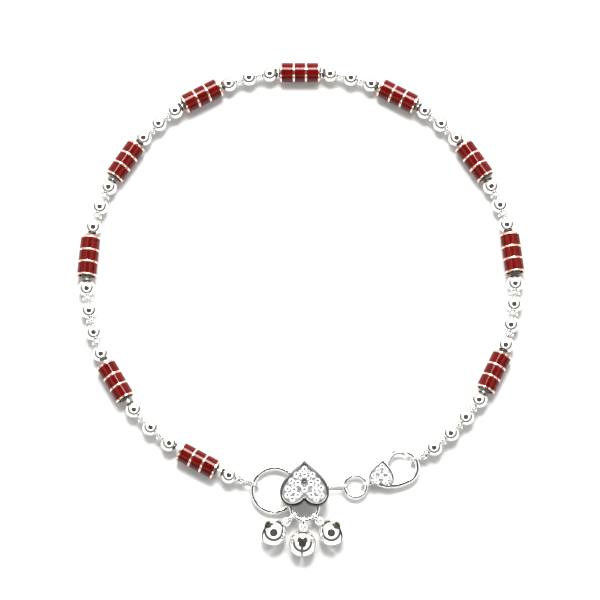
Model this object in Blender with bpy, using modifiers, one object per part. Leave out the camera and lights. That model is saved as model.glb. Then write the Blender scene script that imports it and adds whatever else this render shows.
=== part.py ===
"""A silver anklet that lies closed in a round loop on a flat surface.

Round silver beads and red enamelled barrels sit on one wire. The two ends of the wire
meet in a row of fittings: a large ring, a pave heart with three jingle bells under it,
a connector link, a small ring and a lobster clasp that carries a second small heart.
The loop is laid out from the heart: the fittings fix both ends of the wire, and the
wire takes the circle that its own length needs.
"""

import math

import bmesh
import bpy
from mathutils import Matrix, Vector

MM = 0.001

# The wire, its spacers and the clearances on it
THREAD_DIAMETER = 0.60 * MM
SPACER_DIAMETER = 2.10 * MM
SPACER_THICKNESS = 0.50 * MM
SPACER_EDGE = 0.10 * MM
SPACER_PROUD = 0.25 * MM
PLAY = 0.25 * MM

# Round beads
BEAD_DIAMETER = 3.20 * MM
BEAD_BORE = 1.10 * MM
BEAD_SIDES = 10
BEAD_ROWS = 4

# Enamelled barrels
BARREL_LENGTH = 7.50 * MM
BARREL_DIAMETER = 3.80 * MM
BARREL_WALL = 0.45 * MM
BARREL_SIDES = 10
RIM_WIDTH = 0.35 * MM
ENAMEL_DEPTH = 0.07 * MM
STRIPE_WIDTH = 0.40 * MM
STRIPE_SPACING = 2.30 * MM

# Beads before each barrel and after the last one, with the slack in each gap of the run
RUNS = (
    # beads, slack
    (1, 0.55 * MM),
    (3, 0.60 * MM),
    (4, 0.30 * MM),
    (3, 0.15 * MM),
    (3, 0.00 * MM),
    (3, 0.00 * MM),
    (3, 0.00 * MM),
    (3, 0.00 * MM),
    (3, 0.00 * MM),
    (4, 0.00 * MM),
    (4, 0.15 * MM),
)

# How far the loop bows out of round, as shares of its radius for one, two and three half waves
BOW_SHARES = (-0.002, 0.025, -0.005)

# Wires of the links and rings, and the gap left where one passes round another
LINK_WIRE = 0.50 * MM
STAPLE_WIRE = 0.45 * MM
LINK_GAP = 0.16 * MM
WIRE_RESOLUTION = 1

# End cups on the wire, each with its oval loop
CUP_DIAMETER = 1.90 * MM
CUP_LENGTH = 0.75 * MM
CUP_FLOOR = 0.30 * MM
CUP_SIDES = 12
CUP_CLEARANCE = 0.45 * MM
END_LOOP_PLAY = 0.14 * MM
END_LOOP_LEAN = math.radians(12)
START_LOOP_LENGTH = 3.35 * MM
START_DIRECTION = math.radians(163)
FINISH_LOOP_LENGTH = 2.70 * MM
FINISH_DIRECTION = math.radians(27)

# Large ring between the start of the wire and the heart
LARGE_RING_DIAMETER = 9.10 * MM
LARGE_RING_WIRE = 0.85 * MM
LARGE_RING_LEFT = 5.50 * MM
LARGE_RING_DROP = 0.67 * MM
LARGE_RING_GRIP = math.radians(163)
LARGE_RING_STAPLE = math.radians(24)

# Pave heart, tip up
HEART_WIDTH = 9.00 * MM
HEART_HEIGHT = 8.30 * MM
HEART_THICKNESS = 1.80 * MM
HEART_RIM = 0.45 * MM
HEART_RECESS = 0.40 * MM
STONE_DIAMETER = 1.15 * MM
STONE_HEIGHT = 0.34 * MM
STONE_TABLE = 0.55
STONE_SIDES = 8

# Heart outline from the tip down its right side, as shares of the half width and the height:
# the point, the handle before it and the handle after it
HEART_OUTLINE = (
    # x, y, x before, y before, x after, y after
    (0.00, 1.00, -0.38, 0.82, 0.38, 0.82),
    (1.00, 0.30, 1.00, 0.58, 1.00, 0.12),
    (0.52, 0.00, 0.80, 0.00, 0.28, 0.00),
    (0.00, 0.14, 0.10, 0.05, -0.10, 0.05),
)
HEART_RESOLUTION = 5

# Rows of stones, as shares of the heart's height and half width
HEART_STONES = (
    # y, x of each stone
    (0.82, (0.0,)),
    (0.69, (-0.33, 0.33)),
    (0.68, (0.0,)),
    (0.55, (-0.54, 0.0, 0.54)),
    (0.50, (-0.27, 0.27)),
    (0.38, (-0.69, 0.69)),
    (0.35, (-0.42, 0.0, 0.42)),
    (0.22, (-0.70, -0.28, 0.28, 0.70)),
    (0.135, (-0.49, 0.49)),
)

# Bell ring under the heart
BELL_RING_DIAMETER = 5.80 * MM
BELL_RING_WIRE = 0.70 * MM
BELL_RING_DROP = 4.00 * MM

# Jingle bells and their links
BELL_DIAMETER = 5.00 * MM
BELL_WALL = 0.35 * MM
BELL_SIDES = 12
BELL_ROWS = 6
BELL_MOUTH = 0.50 * MM
BELL_SLIT = 0.45 * MM
BELL_HOLE_WIDTH = 1.80 * MM
BELL_HOLE_HEIGHT = 1.70 * MM
BELL_HOLE_SHIFT = 0.40 * MM
BELL_EYE_DIAMETER = 1.65 * MM
BELL_EYE_WIRE = 0.36 * MM
BELL_EYE_SINK = 0.05 * MM
BELL_LINK_WIRE = 0.60 * MM
BELLS = (
    # name, direction from the ring, distance from the ring's wire, roll about its own axis
    ("left", math.radians(221), 4.90 * MM, math.radians(-38)),
    ("centre", math.radians(267), 4.40 * MM, math.radians(0)),
    ("right", math.radians(315), 4.40 * MM, math.radians(35)),
)

# Connector link and small ring
CONNECTOR_LENGTH = 5.70 * MM
CONNECTOR_HEIGHT = 2.25 * MM
CONNECTOR_STAPLE = 3.60 * MM
SMALL_RING_DIAMETER = 4.80 * MM
SMALL_RING_WIRE = 0.75 * MM
SMALL_RING_GRIP = math.radians(10)

# Lobster clasp, laid out from the middle of its hook
CLASP_BAR = 0.96 * MM
CLASP_LEVEL = 1.20 * MM
CLASP_TAIL_EYE = 2.15 * MM
HOOK_HALF_WIDTH = 2.75 * MM
HOOK_HALF_HEIGHT = 2.90 * MM
HOOK_START = math.radians(-72)
HOOK_END = math.radians(72)
HOOK_GRIP = math.radians(30)
HOOK_POINTS = 6
SPINE = (
    # x and y of the spine from the tail eye to the hook, as shares of the hook's half sizes
    (-2.16, -1.12),
    (-1.86, -1.02),
    (-1.13, -1.22),
    (-0.30, -1.16),
)
CLASP_HEART_WIDTH = 4.70 * MM
CLASP_HEART_HEIGHT = 4.90 * MM
CLASP_HEART_THICKNESS = 2.05 * MM
CLASP_HEART_RIM = 0.30 * MM
CLASP_HEART_LEFT = 3.90 * MM
CLASP_HEART_DROP = 1.25 * MM
CLASP_HEART_TURN = math.radians(-5)
CLASP_STONES = (
    # y, x of each stone
    (0.76, (0.0,)),
    (0.55, (-0.31, 0.31)),
    (0.34, (-0.62, 0.0, 0.62)),
    (0.15, (-0.36, 0.36)),
)
CLASP_STONE_DIAMETER = 0.95 * MM

# Sprung lever that closes the clasp's mouth
LEVER_PIN = 0.50 * MM
LEVER_BORE = 0.80 * MM
LEVER_EYE = 1.50 * MM
LEVER_EYE_THICKNESS = 0.46 * MM
LEVER_SLOT = 0.80 * MM
LEVER_SLOT_DIAMETER = 2.10 * MM
LEVER_ROOT = 0.40 * MM
LEVER_BAR = 0.62 * MM
LEVER_NOSE = 0.30 * MM
LEVER_PIVOT = (-1.13, -0.14)
LEVER_ROUTE = (
    # x and y along the lever, as shares of the hook's half sizes
    (-1.00, 0.10),
    (-0.93, 0.38),
    (-0.76, 0.68),
    (-0.55, 0.86),
    (-0.30, 0.93),
    (-0.05, 0.905),
    (0.165, 0.765),
)
LEVER_NUB = 0.70 * MM
LEVER_NUB_REACH = 0.45 * MM
LEVER_NUB_POINT = 3

# Levels above the surface that the anklet lies on
STRAND_LEVEL = BARREL_DIAMETER / 2
LARGE_RING_LEVEL = LINK_WIRE + LINK_GAP + LARGE_RING_WIRE / 2
SMALL_RING_LEVEL = LINK_WIRE + LINK_GAP + SMALL_RING_WIRE / 2
BELL_RING_LEVEL = LARGE_RING_LEVEL + LARGE_RING_WIRE / 2 + LINK_GAP + BELL_RING_WIRE / 2
HEART_BACK = max(BELL_RING_LEVEL + BELL_RING_WIRE / 2, CONNECTOR_HEIGHT) + PLAY
BELL_LEVEL = BELL_DIAMETER / 2

MERGE = 0.001 * MM
BURY = 0.15 * MM

for old in list(bpy.data.objects):
    bpy.data.objects.remove(old, do_unlink=True)

PARTS = bpy.data.collections.new("anklet")
CUTTERS = bpy.data.collections.new("cutters")
bpy.context.scene.collection.children.link(PARTS)
bpy.context.scene.collection.children.link(CUTTERS)


def material(name, colour, roughness, metallic):
    """A Principled material for one kind of surface."""
    made = bpy.data.materials.new(name)
    made.use_nodes = True
    shader = made.node_tree.nodes["Principled BSDF"]
    shader.inputs["Base Color"].default_value = (*colour, 1.0)
    shader.inputs["Roughness"].default_value = roughness
    shader.inputs["Metallic"].default_value = metallic
    return made


SILVER = material("polished_silver", (0.90, 0.89, 0.87), 0.12, 1.0)
ENAMEL = material("red_enamel", (0.42, 0.01, 0.01), 0.15, 0.0)
PAVE = material("silver_with_clear_stones", (0.86, 0.86, 0.88), 0.10, 1.0)
WIRE = material("stringing_wire", (0.72, 0.72, 0.70), 0.25, 1.0)


def add(name, mesh, kind=None, collection=PARTS):
    """A new object for a mesh, in the parts or among the cutters."""
    made = bpy.data.objects.new(name, mesh)
    collection.objects.link(made)
    if kind is not None:
        mesh.materials.append(kind)
    if collection is CUTTERS:
        made.hide_render = True
        made.display_type = "WIRE"
    return made


def turned(name, profile, sides, kind=None, collection=PARTS):
    """A solid turned about Z from a closed outline of (radius, height) that runs down outside."""
    mesh = bpy.data.meshes.new(name)
    count = len(profile)
    edges = [(index, (index + 1) % count) for index in range(count)]
    mesh.from_pydata([(radius, 0.0, height) for radius, height in profile], edges, [])
    made = add(name, mesh, kind, collection)
    screw = made.modifiers.new("turn", "SCREW")
    screw.steps = sides
    screw.render_steps = sides
    screw.use_merge_vertices = True
    screw.merge_threshold = MERGE
    return made


def as_mesh(source, name, kind, collection):
    """The curve as a welded mesh object, in place of the curve."""
    bpy.context.view_layer.update()
    evaluated = source.evaluated_get(bpy.context.evaluated_depsgraph_get())
    mesh = bpy.data.meshes.new_from_object(evaluated)
    matrix = source.matrix_world.copy()
    bpy.data.objects.remove(source, do_unlink=True)
    body = bmesh.new()
    body.from_mesh(mesh)
    bmesh.ops.remove_doubles(body, verts=body.verts, dist=MERGE)
    bmesh.ops.recalc_face_normals(body, faces=body.faces)
    body.to_mesh(mesh)
    body.free()
    mesh.materials.clear()
    made = add(name, mesh, kind, collection)
    made.matrix_world = matrix
    return made


def wire(name, points, diameter, shares=None, cyclic=False, smooth=0, sides=WIRE_RESOLUTION,
         kind=None, collection=PARTS):
    """A round wire through the points, each with its own share of the diameter."""
    curve = bpy.data.curves.new(name, "CURVE")
    curve.dimensions = "3D"
    curve.bevel_depth = diameter / 2
    curve.bevel_resolution = sides
    curve.use_fill_caps = not cyclic
    spline = curve.splines.new("BEZIER" if smooth else "POLY")
    if smooth:
        curve.resolution_u = smooth
        spline.bezier_points.add(len(points) - 1)
        for knot, point in zip(spline.bezier_points, points):
            knot.co = point
            knot.handle_left_type = "AUTO"
            knot.handle_right_type = "AUTO"
    else:
        spline.points.add(len(points) - 1)
        for knot, point in zip(spline.points, points):
            knot.co = (*point, 1.0)
    knots = spline.bezier_points if smooth else spline.points
    for knot, share in zip(knots, shares or [1.0] * len(points)):
        knot.radius = share
    spline.use_cyclic_u = cyclic
    source = bpy.data.objects.new(name + "_curve", curve)
    bpy.context.scene.collection.objects.link(source)
    return as_mesh(source, name, kind, collection)


def ring(name, diameter, thickness, kind=None, collection=PARTS, segments=20):
    """A round ring flat in XY, given by its outer diameter."""
    bpy.ops.mesh.primitive_torus_add(
        major_segments=segments, minor_segments=6,
        major_radius=(diameter - thickness) / 2, minor_radius=thickness / 2)
    mesh = bpy.context.object.data
    bpy.data.objects.remove(bpy.context.object, do_unlink=True)
    return add(name, mesh, kind, collection)


def stadium(length, height, thickness, steps=5):
    """Centre-line points of an oval link in XZ, given by its outer sizes."""
    bend = (height - thickness) / 2
    straight = (length - height) / 2
    points = []
    for side in (1, -1):
        for step in range(steps + 1):
            angle = math.radians(-90 + 180 * step / steps)
            points.append((side * (straight + bend * math.cos(angle)), 0.0,
                           side * bend * math.sin(angle)))
    return points


def heart_solid(name, width, height, thickness, kind=None, collection=PARTS):
    """A heart plate, tip towards +Y and back at the origin's level, centred on its height."""
    curve = bpy.data.curves.new(name, "CURVE")
    curve.dimensions = "2D"
    curve.fill_mode = "BOTH"
    curve.extrude = thickness / 2
    curve.resolution_u = HEART_RESOLUTION
    right = list(HEART_OUTLINE)
    left = [(-x, y, -x_after, y_after, -x_before, y_before)
            for x, y, x_before, y_before, x_after, y_after in reversed(right[1:-1])]
    outline = right + left
    spline = curve.splines.new("BEZIER")
    spline.bezier_points.add(len(outline) - 1)

    def at(x, y):
        return Vector((x * width / 2, (y - 0.5) * height, 0.0))

    for knot, (x, y, x_before, y_before, x_after, y_after) in zip(spline.bezier_points, outline):
        knot.handle_left_type = "FREE"
        knot.handle_right_type = "FREE"
        knot.co = at(x, y)
        knot.handle_left = at(x_before, y_before)
        knot.handle_right = at(x_after, y_after)
    spline.use_cyclic_u = True
    source = bpy.data.objects.new(name + "_curve", curve)
    bpy.context.scene.collection.objects.link(source)
    source.location.z = thickness / 2
    return as_mesh(source, name, kind, collection)


def box(name, size, centre):
    """A box-shaped cutter."""
    body = bmesh.new()
    bmesh.ops.create_cube(body, size=1.0)
    bmesh.ops.scale(body, vec=size, verts=body.verts)
    bmesh.ops.translate(body, vec=centre, verts=body.verts)
    mesh = bpy.data.meshes.new(name)
    body.to_mesh(mesh)
    body.free()
    return add(name, mesh, collection=CUTTERS)


def combine(target, operation, operands):
    """A Boolean with each operand in turn, all of them placed as the target is."""
    for operand in operands:
        change = target.modifiers.new(operand.name, "BOOLEAN")
        change.operation = operation
        change.solver = "EXACT"
        change.object = operand


def place(objects, matrix):
    """Moves a piece and its cutters together."""
    bpy.context.view_layer.update()
    for item in objects:
        item.matrix_world = matrix @ item.matrix_world


def stones(name, rows, width, height, diameter, level):
    """Cut stones in their rows: a table and a ring of facets each, sunk in the plate."""
    body = bmesh.new()
    for row, across in rows:
        for share in across:
            centre = (share * width / 2, (row - 0.5) * height, level + STONE_HEIGHT / 2 - BURY / 2)
            bmesh.ops.create_cone(
                body, cap_ends=True, segments=STONE_SIDES, radius1=diameter / 2,
                radius2=diameter / 2 * STONE_TABLE, depth=STONE_HEIGHT + BURY,
                matrix=Matrix.Translation(centre))
    mesh = bpy.data.meshes.new(name)
    body.to_mesh(mesh)
    body.free()
    return add(name, mesh, collection=CUTTERS)


def pave_heart(name, width, height, thickness, rim, rows, diameter, kind):
    """A heart plate with a raised rim round a bed of stones. Returns the plate and its tools."""
    plate = heart_solid(name, width, height, thickness, kind)
    bed = heart_solid(name + "_bed", width - 2 * rim, height - 2 * rim, HEART_RECESS * 2,
                      collection=CUTTERS)
    bed.location.z += thickness - HEART_RECESS
    gems = stones(name + "_stones", rows, width, height, diameter, thickness - HEART_RECESS)
    combine(plate, "DIFFERENCE", [bed])
    combine(plate, "UNION", [gems])
    return plate, [bed, gems]


def staple(name, centre, direction, low, high, wrapped):
    """A wire staple under the heart that passes round something of the wrapped width."""
    half = wrapped / 2 + LINK_GAP + STAPLE_WIRE / 2
    along = Vector((math.cos(direction), math.sin(direction), 0.0))
    middle = Vector((centre[0], centre[1], 0.0))
    up = Vector((0.0, 0.0, 1.0))
    points = [middle - along * half + up * high]
    steps = 4
    for step in range(steps + 1):
        angle = math.pi * step / steps
        points.append(middle - along * half * math.cos(angle)
                      + up * (low + half - half * math.sin(angle)))
    points.append(middle + along * half + up * high)
    return wire(name, points, STAPLE_WIRE, collection=CUTTERS)


def strand_items():
    """Each bead and barrel and each spacer along the wire, from the first cup's face."""
    pole = math.sqrt((BEAD_DIAMETER / 2) ** 2 - (BEAD_BORE / 2) ** 2)
    items = []
    spacers = []
    cursor = 0.0
    before = "cup"
    for run, (count, slack) in enumerate(RUNS):
        for _ in range(count):
            if before == "cup":
                cursor += CUP_CLEARANCE
            elif before == "bead":
                gap = SPACER_THICKNESS + 2 * PLAY + slack
                spacers.append(cursor + gap / 2)
                cursor += gap
            else:
                spacers.append(cursor + SPACER_PROUD - SPACER_THICKNESS / 2)
                cursor += SPACER_PROUD + PLAY + slack
            items.append(("bead", cursor + pole))
            cursor += 2 * pole
            before = "bead"
        if run < len(RUNS) - 1:
            cursor += SPACER_PROUD + PLAY + slack
            spacers.append(cursor - SPACER_PROUD + SPACER_THICKNESS / 2)
            items.append(("barrel", cursor + BARREL_LENGTH / 2))
            cursor += BARREL_LENGTH
            before = "barrel"
    return items, spacers, cursor + CUP_CLEARANCE


class Route:
    """The wire's way from one end to the other: the large arc of a circle, slightly bowed."""

    samples = 720

    def __init__(self, start, finish, length):
        chord = (finish - start).length
        low = chord / 2
        high = length
        for _ in range(60):
            radius = (low + high) / 2
            if radius * (2 * math.pi - 2 * math.asin(chord / 2 / radius)) < length:
                low = radius
            else:
                high = radius
        middle = (start + finish) / 2
        side = Vector((start.y - finish.y, finish.x - start.x)).normalized()
        self.centre = middle + side * math.sqrt(radius ** 2 - chord ** 2 / 4)
        self.radius = radius
        spoke = start - self.centre
        begin = math.atan2(spoke.y, spoke.x)
        sweep = length / radius
        self.points = []
        for sample in range(self.samples + 1):
            share = sample / self.samples
            bow = sum(size * math.sin(math.pi * (order + 1) * share)
                      for order, size in enumerate(BOW_SHARES))
            angle = begin - sweep * share
            reach = radius * (1 + bow)
            self.points.append(self.centre
                               + Vector((math.cos(angle), math.sin(angle))) * reach)
        self.marks = [0.0]
        for first, second in zip(self.points, self.points[1:]):
            self.marks.append(self.marks[-1] + (second - first).length)
        self.stretch = self.marks[-1] / length

    def at(self, along):
        """The point and the direction at a distance along the wire; past an end it runs straight."""
        wanted = along * self.stretch
        index = 0
        while index < self.samples - 1 and self.marks[index + 1] < wanted:
            index += 1
        first = self.points[index]
        ahead = (self.points[index + 1] - first).normalized()
        point = first + ahead * (wanted - self.marks[index])
        return Vector((point.x, point.y, STRAND_LEVEL)), Vector((ahead.x, ahead.y, 0.0))

    def chord(self, along, half):
        """The middle and the direction of a straight piece that is laid across the wire's curve."""
        first = self.at(along - half)[0]
        second = self.at(along + half)[0]
        return (first + second) / 2, (second - first).normalized()


def facing(point, direction):
    """A frame at the point with its Z along the direction and its Y kept level."""
    ahead = direction.normalized()
    side = Vector((0.0, 0.0, 1.0)).cross(ahead).normalized()
    up = side.cross(ahead)
    matrix = Matrix((up, side, ahead)).transposed().to_4x4()
    return Matrix.Translation(point) @ matrix


def bead(name):
    """A round bead drilled for the wire."""
    bore = BEAD_BORE / 2
    radius = BEAD_DIAMETER / 2
    start = math.asin(bore / radius)
    profile = []
    for row in range(BEAD_ROWS + 1):
        angle = start + (math.pi - 2 * start) * row / BEAD_ROWS
        profile.append((radius * math.sin(angle), radius * math.cos(angle)))
    return turned(name, profile, BEAD_SIDES, SILVER)


def barrel(name):
    """An open enamelled tube with a rim at each mouth and two raised stripes round it."""
    outer = BARREL_DIAMETER / 2
    enamel = outer - ENAMEL_DEPTH
    bore = outer - BARREL_WALL
    half = BARREL_LENGTH / 2
    upper = [(bore, half), (outer, half), (outer, half - RIM_WIDTH), (enamel, half - RIM_WIDTH)]
    stripe = STRIPE_SPACING / 2
    upper += [(enamel, stripe + STRIPE_WIDTH / 2), (outer, stripe), (enamel, stripe - STRIPE_WIDTH / 2)]
    lower = [(radius, -height) for radius, height in reversed(upper)]
    return turned(name, upper + lower, BARREL_SIDES, ENAMEL)


def thread(route, spacers, length):
    """The stringing wire with its spacer discs fixed on it."""
    tail = CUP_LENGTH - CUP_FLOOR - PLAY
    wide = SPACER_DIAMETER / THREAD_DIAMETER
    stations = [(-tail, 1.0)]
    last = 0.0
    for spot in spacers:
        if spot - last > BARREL_LENGTH / 2:
            stations.append(((spot + last) / 2, 1.0))
        near = spot - SPACER_THICKNESS / 2
        far = spot + SPACER_THICKNESS / 2
        stations += [(near, 1.0), (near + SPACER_EDGE, wide), (far - SPACER_EDGE, wide), (far, 1.0)]
        last = spot
    stations.append((length + tail, 1.0))
    points = [route.at(along)[0] for along, _ in stations]
    wire("thread", points, THREAD_DIAMETER, [share for _, share in stations], kind=WIRE)


def end_fitting(name, held, level, thickness, length, direction):
    """A cup on the wire's end with its oval loop, which slopes down to the wire that it holds.

    The direction points away from what is held. Returns the middle of the cup's open face.
    """
    reach = CUP_LENGTH - BURY + length - LINK_WIRE - LINK_GAP - thickness / 2
    drop = STRAND_LEVEL - level
    face = polar(held, math.sqrt(reach ** 2 - drop ** 2), direction)
    ahead = Vector((held[0] - face.x, held[1] - face.y, -drop))
    outer = CUP_DIAMETER / 2
    bore = BEAD_BORE / 2
    cup = turned(name, [(0.0, CUP_LENGTH), (outer, CUP_LENGTH), (outer, 0.0), (bore, 0.0),
                        (bore, CUP_LENGTH - CUP_FLOOR), (0.0, CUP_LENGTH - CUP_FLOOR)],
                 CUP_SIDES, SILVER)
    height = thickness + 2 * (LINK_WIRE + END_LOOP_PLAY)
    loop = wire(name + "_loop", stadium(length, height, LINK_WIRE), LINK_WIRE,
                cyclic=True, collection=CUTTERS)
    middle = CUP_LENGTH - BURY + length / 2
    loop.matrix_world = (Matrix.Translation((0.0, 0.0, middle))
                         @ Matrix.Rotation(END_LOOP_LEAN, 4, "Z")
                         @ Matrix.Rotation(math.radians(90), 4, "Y"))
    combine(cup, "UNION", [loop])
    place([cup, loop], facing(Vector((*face, STRAND_LEVEL)), ahead))
    return face


def polar(centre, radius, angle):
    """A point at a distance and angle from a centre in the plane."""
    return Vector((centre[0] + radius * math.cos(angle), centre[1] + radius * math.sin(angle)))


def bell(name, centre, eye_direction, roll):
    """A hollow jingle bell with a slit, heart-shaped ends to the slit and a soldered eye."""
    outer = BELL_DIAMETER / 2
    inner = outer - BELL_WALL

    def arc(radius, first, last):
        return [(radius * math.sin(first + (last - first) * row / BELL_ROWS),
                 radius * math.cos(first + (last - first) * row / BELL_ROWS))
                for row in range(BELL_ROWS + 1)]

    mouth = BELL_MOUTH / 2
    profile = arc(outer, 0.0, math.pi - math.asin(mouth / outer))
    profile += arc(inner, math.pi - math.asin(mouth / inner), 0.0)
    shell = turned(name, profile, BELL_SIDES, SILVER)
    slit = box(name + "_slit", (outer * 3, BELL_SLIT, outer), (0.0, 0.0, -outer * 0.55))
    hole = heart_solid(name + "_hole", BELL_HOLE_WIDTH, BELL_HOLE_HEIGHT, BELL_DIAMETER * 1.2,
                       collection=CUTTERS)
    hole.matrix_world = (Matrix.Rotation(math.radians(-90), 4, "Y")
                         @ Matrix.Rotation(math.radians(90), 4, "Z")
                         @ Matrix.Translation((0.0, BELL_HOLE_SHIFT, -BELL_DIAMETER * 0.6)))
    place([shell, slit, hole], Matrix.Rotation(roll, 4, "Z"))
    eye = ring(name + "_eye", BELL_EYE_DIAMETER, BELL_EYE_WIRE, collection=CUTTERS, segments=12)
    reach = outer - BELL_EYE_SINK + (BELL_EYE_DIAMETER - BELL_EYE_WIRE) / 2
    eye.matrix_world = (Matrix.Translation((0.0, 0.0, reach))
                        @ Matrix.Rotation(math.radians(90), 4, "Y"))
    combine(shell, "DIFFERENCE", [slit, hole])
    combine(shell, "UNION", [eye])
    place([shell, slit, hole, eye], facing(centre, eye_direction))


def bell_group(ring_centre):
    """The bell ring, its three bells and the link that holds each of them."""
    hoop = ring("bell_ring", BELL_RING_DIAMETER, BELL_RING_WIRE, SILVER)
    hoop.location = (*ring_centre, BELL_RING_LEVEL)
    mean = (BELL_RING_DIAMETER - BELL_RING_WIRE) / 2
    eye_reach = BELL_DIAMETER / 2 - BELL_EYE_SINK + BELL_EYE_DIAMETER - BELL_EYE_WIRE
    height = BELL_RING_WIRE + 2 * (LINK_GAP + BELL_LINK_WIRE)
    for side, direction, distance, roll in BELLS:
        upper = Vector((*polar(ring_centre, mean, direction), BELL_RING_LEVEL))
        centre = Vector((*polar(ring_centre, mean + distance, direction), BELL_LEVEL))
        along = (upper - centre).normalized()
        bell("bell_" + side, centre, along, roll)
        far = upper + along * (BELL_RING_WIRE / 2 + LINK_GAP + BELL_LINK_WIRE)
        near = centre + along * (eye_reach - BELL_EYE_WIRE / 2 - LINK_GAP - BELL_LINK_WIRE)
        link = wire("bell_link_" + side,
                    stadium((far - near).length, height, BELL_LINK_WIRE),
                    BELL_LINK_WIRE, cyclic=True, kind=SILVER)
        across = Vector((0.0, 0.0, 1.0)).cross(along).normalized()
        turn = Matrix((along, across, along.cross(across))).transposed().to_4x4()
        link.matrix_world = Matrix.Translation((far + near) / 2) @ turn


def heart_charm(large_ring_centre, bell_ring_centre):
    """The pave heart with its three staples soldered to its back. Its tip points to the loop."""
    plate, tools = pave_heart("heart_charm", HEART_WIDTH, HEART_HEIGHT, HEART_THICKNESS,
                              HEART_RIM, HEART_STONES, STONE_DIAMETER, PAVE)
    place([plate] + tools, Matrix.Translation((0.0, 0.0, HEART_BACK)))
    high = HEART_BACK + BURY
    large_mean = (LARGE_RING_DIAMETER - LARGE_RING_WIRE) / 2
    bell_mean = (BELL_RING_DIAMETER - BELL_RING_WIRE) / 2
    staples = [
        staple("staple_large_ring", polar(large_ring_centre, large_mean, LARGE_RING_STAPLE),
               LARGE_RING_STAPLE,
               LARGE_RING_LEVEL - LARGE_RING_WIRE / 2 - LINK_GAP - STAPLE_WIRE / 2,
               high, LARGE_RING_WIRE),
        staple("staple_bell_ring", polar(bell_ring_centre, bell_mean, math.radians(90)),
               math.radians(90),
               BELL_RING_LEVEL - BELL_RING_WIRE / 2 - LINK_GAP - STAPLE_WIRE / 2,
               high, BELL_RING_WIRE),
        staple("staple_connector", (CONNECTOR_STAPLE, 0.0), math.radians(90),
               CONNECTOR_HEIGHT / 2, high, LINK_WIRE),
    ]
    combine(plate, "UNION", staples)


def clasp_point(origin, shares):
    """A point of the clasp, given as shares of the hook's half sizes."""
    return Vector((origin[0] + shares[0] * HOOK_HALF_WIDTH,
                   origin[1] + shares[1] * HOOK_HALF_HEIGHT, CLASP_LEVEL))


def hook_point(origin, angle):
    """A point on the hook's centre line."""
    return clasp_point(origin, (math.cos(angle), math.sin(angle)))


def clasp_body(origin, eye_centre):
    """The cast body: tail eye, spine and hook in one bar, and the heart block with its pin."""
    body, tools = pave_heart("clasp_body", CLASP_HEART_WIDTH, CLASP_HEART_HEIGHT,
                             CLASP_HEART_THICKNESS, CLASP_HEART_RIM, CLASP_STONES,
                             CLASP_STONE_DIAMETER, PAVE)
    block_base = CLASP_LEVEL - LEVER_SLOT / 2 - LEVER_ROOT
    centre = (origin[0] - CLASP_HEART_LEFT, origin[1] - CLASP_HEART_DROP, block_base)
    place([body] + tools, Matrix.Translation(centre) @ Matrix.Rotation(CLASP_HEART_TURN, 4, "Z"))
    points = [clasp_point(origin, shares) for shares in SPINE]
    for step in range(HOOK_POINTS):
        angle = HOOK_START + (HOOK_END - HOOK_START) * step / (HOOK_POINTS - 1)
        points.append(hook_point(origin, angle))
    shares = [LINK_WIRE / CLASP_BAR] + [1.0] * (len(points) - 2) + [0.85]
    bar = wire("clasp_bar", points, CLASP_BAR, shares, smooth=3, sides=2, collection=CUTTERS)
    eye = ring("clasp_eye", CLASP_TAIL_EYE, LINK_WIRE, collection=CUTTERS, segments=12)
    eye.matrix_world = (Matrix.Translation((*eye_centre, CLASP_TAIL_EYE / 2))
                        @ Matrix.Rotation(math.radians(90), 4, "X"))
    pivot = clasp_point(origin, LEVER_PIVOT)
    slot_radius = LEVER_SLOT_DIAMETER / 2
    slot = turned("lever_slot", [(0.0, LEVER_SLOT / 2), (slot_radius, LEVER_SLOT / 2),
                                 (slot_radius, -LEVER_SLOT / 2), (0.0, -LEVER_SLOT / 2)],
                  16, collection=CUTTERS)
    slot.location = pivot
    pin_half = LEVER_SLOT / 2 + BURY
    pin = turned("lever_pin", [(0.0, pin_half), (LEVER_PIN / 2, pin_half),
                               (LEVER_PIN / 2, -pin_half), (0.0, -pin_half)],
                 10, collection=CUTTERS)
    pin.location = pivot
    combine(body, "UNION", [bar, eye])
    combine(body, "DIFFERENCE", [slot])
    combine(body, "UNION", [pin])


def clasp_lever(origin):
    """The sprung lever: an eye round the pin, a curved bar and a nub for the thumb."""
    pivot = clasp_point(origin, LEVER_PIVOT)
    outer = LEVER_EYE / 2
    bore = LEVER_BORE / 2
    half = LEVER_EYE_THICKNESS / 2
    lever = turned("clasp_lever", [(bore, half), (outer, half), (outer, -half), (bore, -half)],
                   12, SILVER)
    lever.location = pivot
    points = [clasp_point(origin, shares) for shares in LEVER_ROUTE]
    start = points[0] + (pivot - points[0]) * 0.35
    root = LEVER_ROOT / LEVER_BAR
    shares = [root, root] + [1.0] * (len(points) - 2) + [LEVER_NOSE / LEVER_BAR]
    bar = wire("lever_bar", [start] + points, LEVER_BAR, shares, smooth=3, sides=2,
               collection=CUTTERS)
    root_point = points[LEVER_NUB_POINT]
    out = (root_point - clasp_point(origin, (0.0, 0.0))).normalized()
    nub = wire("lever_nub", [root_point, root_point + out * LEVER_NUB_REACH], LEVER_NUB,
               [0.8, 1.0], sides=2, collection=CUTTERS)
    combine(lever, "UNION", [bar, nub])


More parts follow.
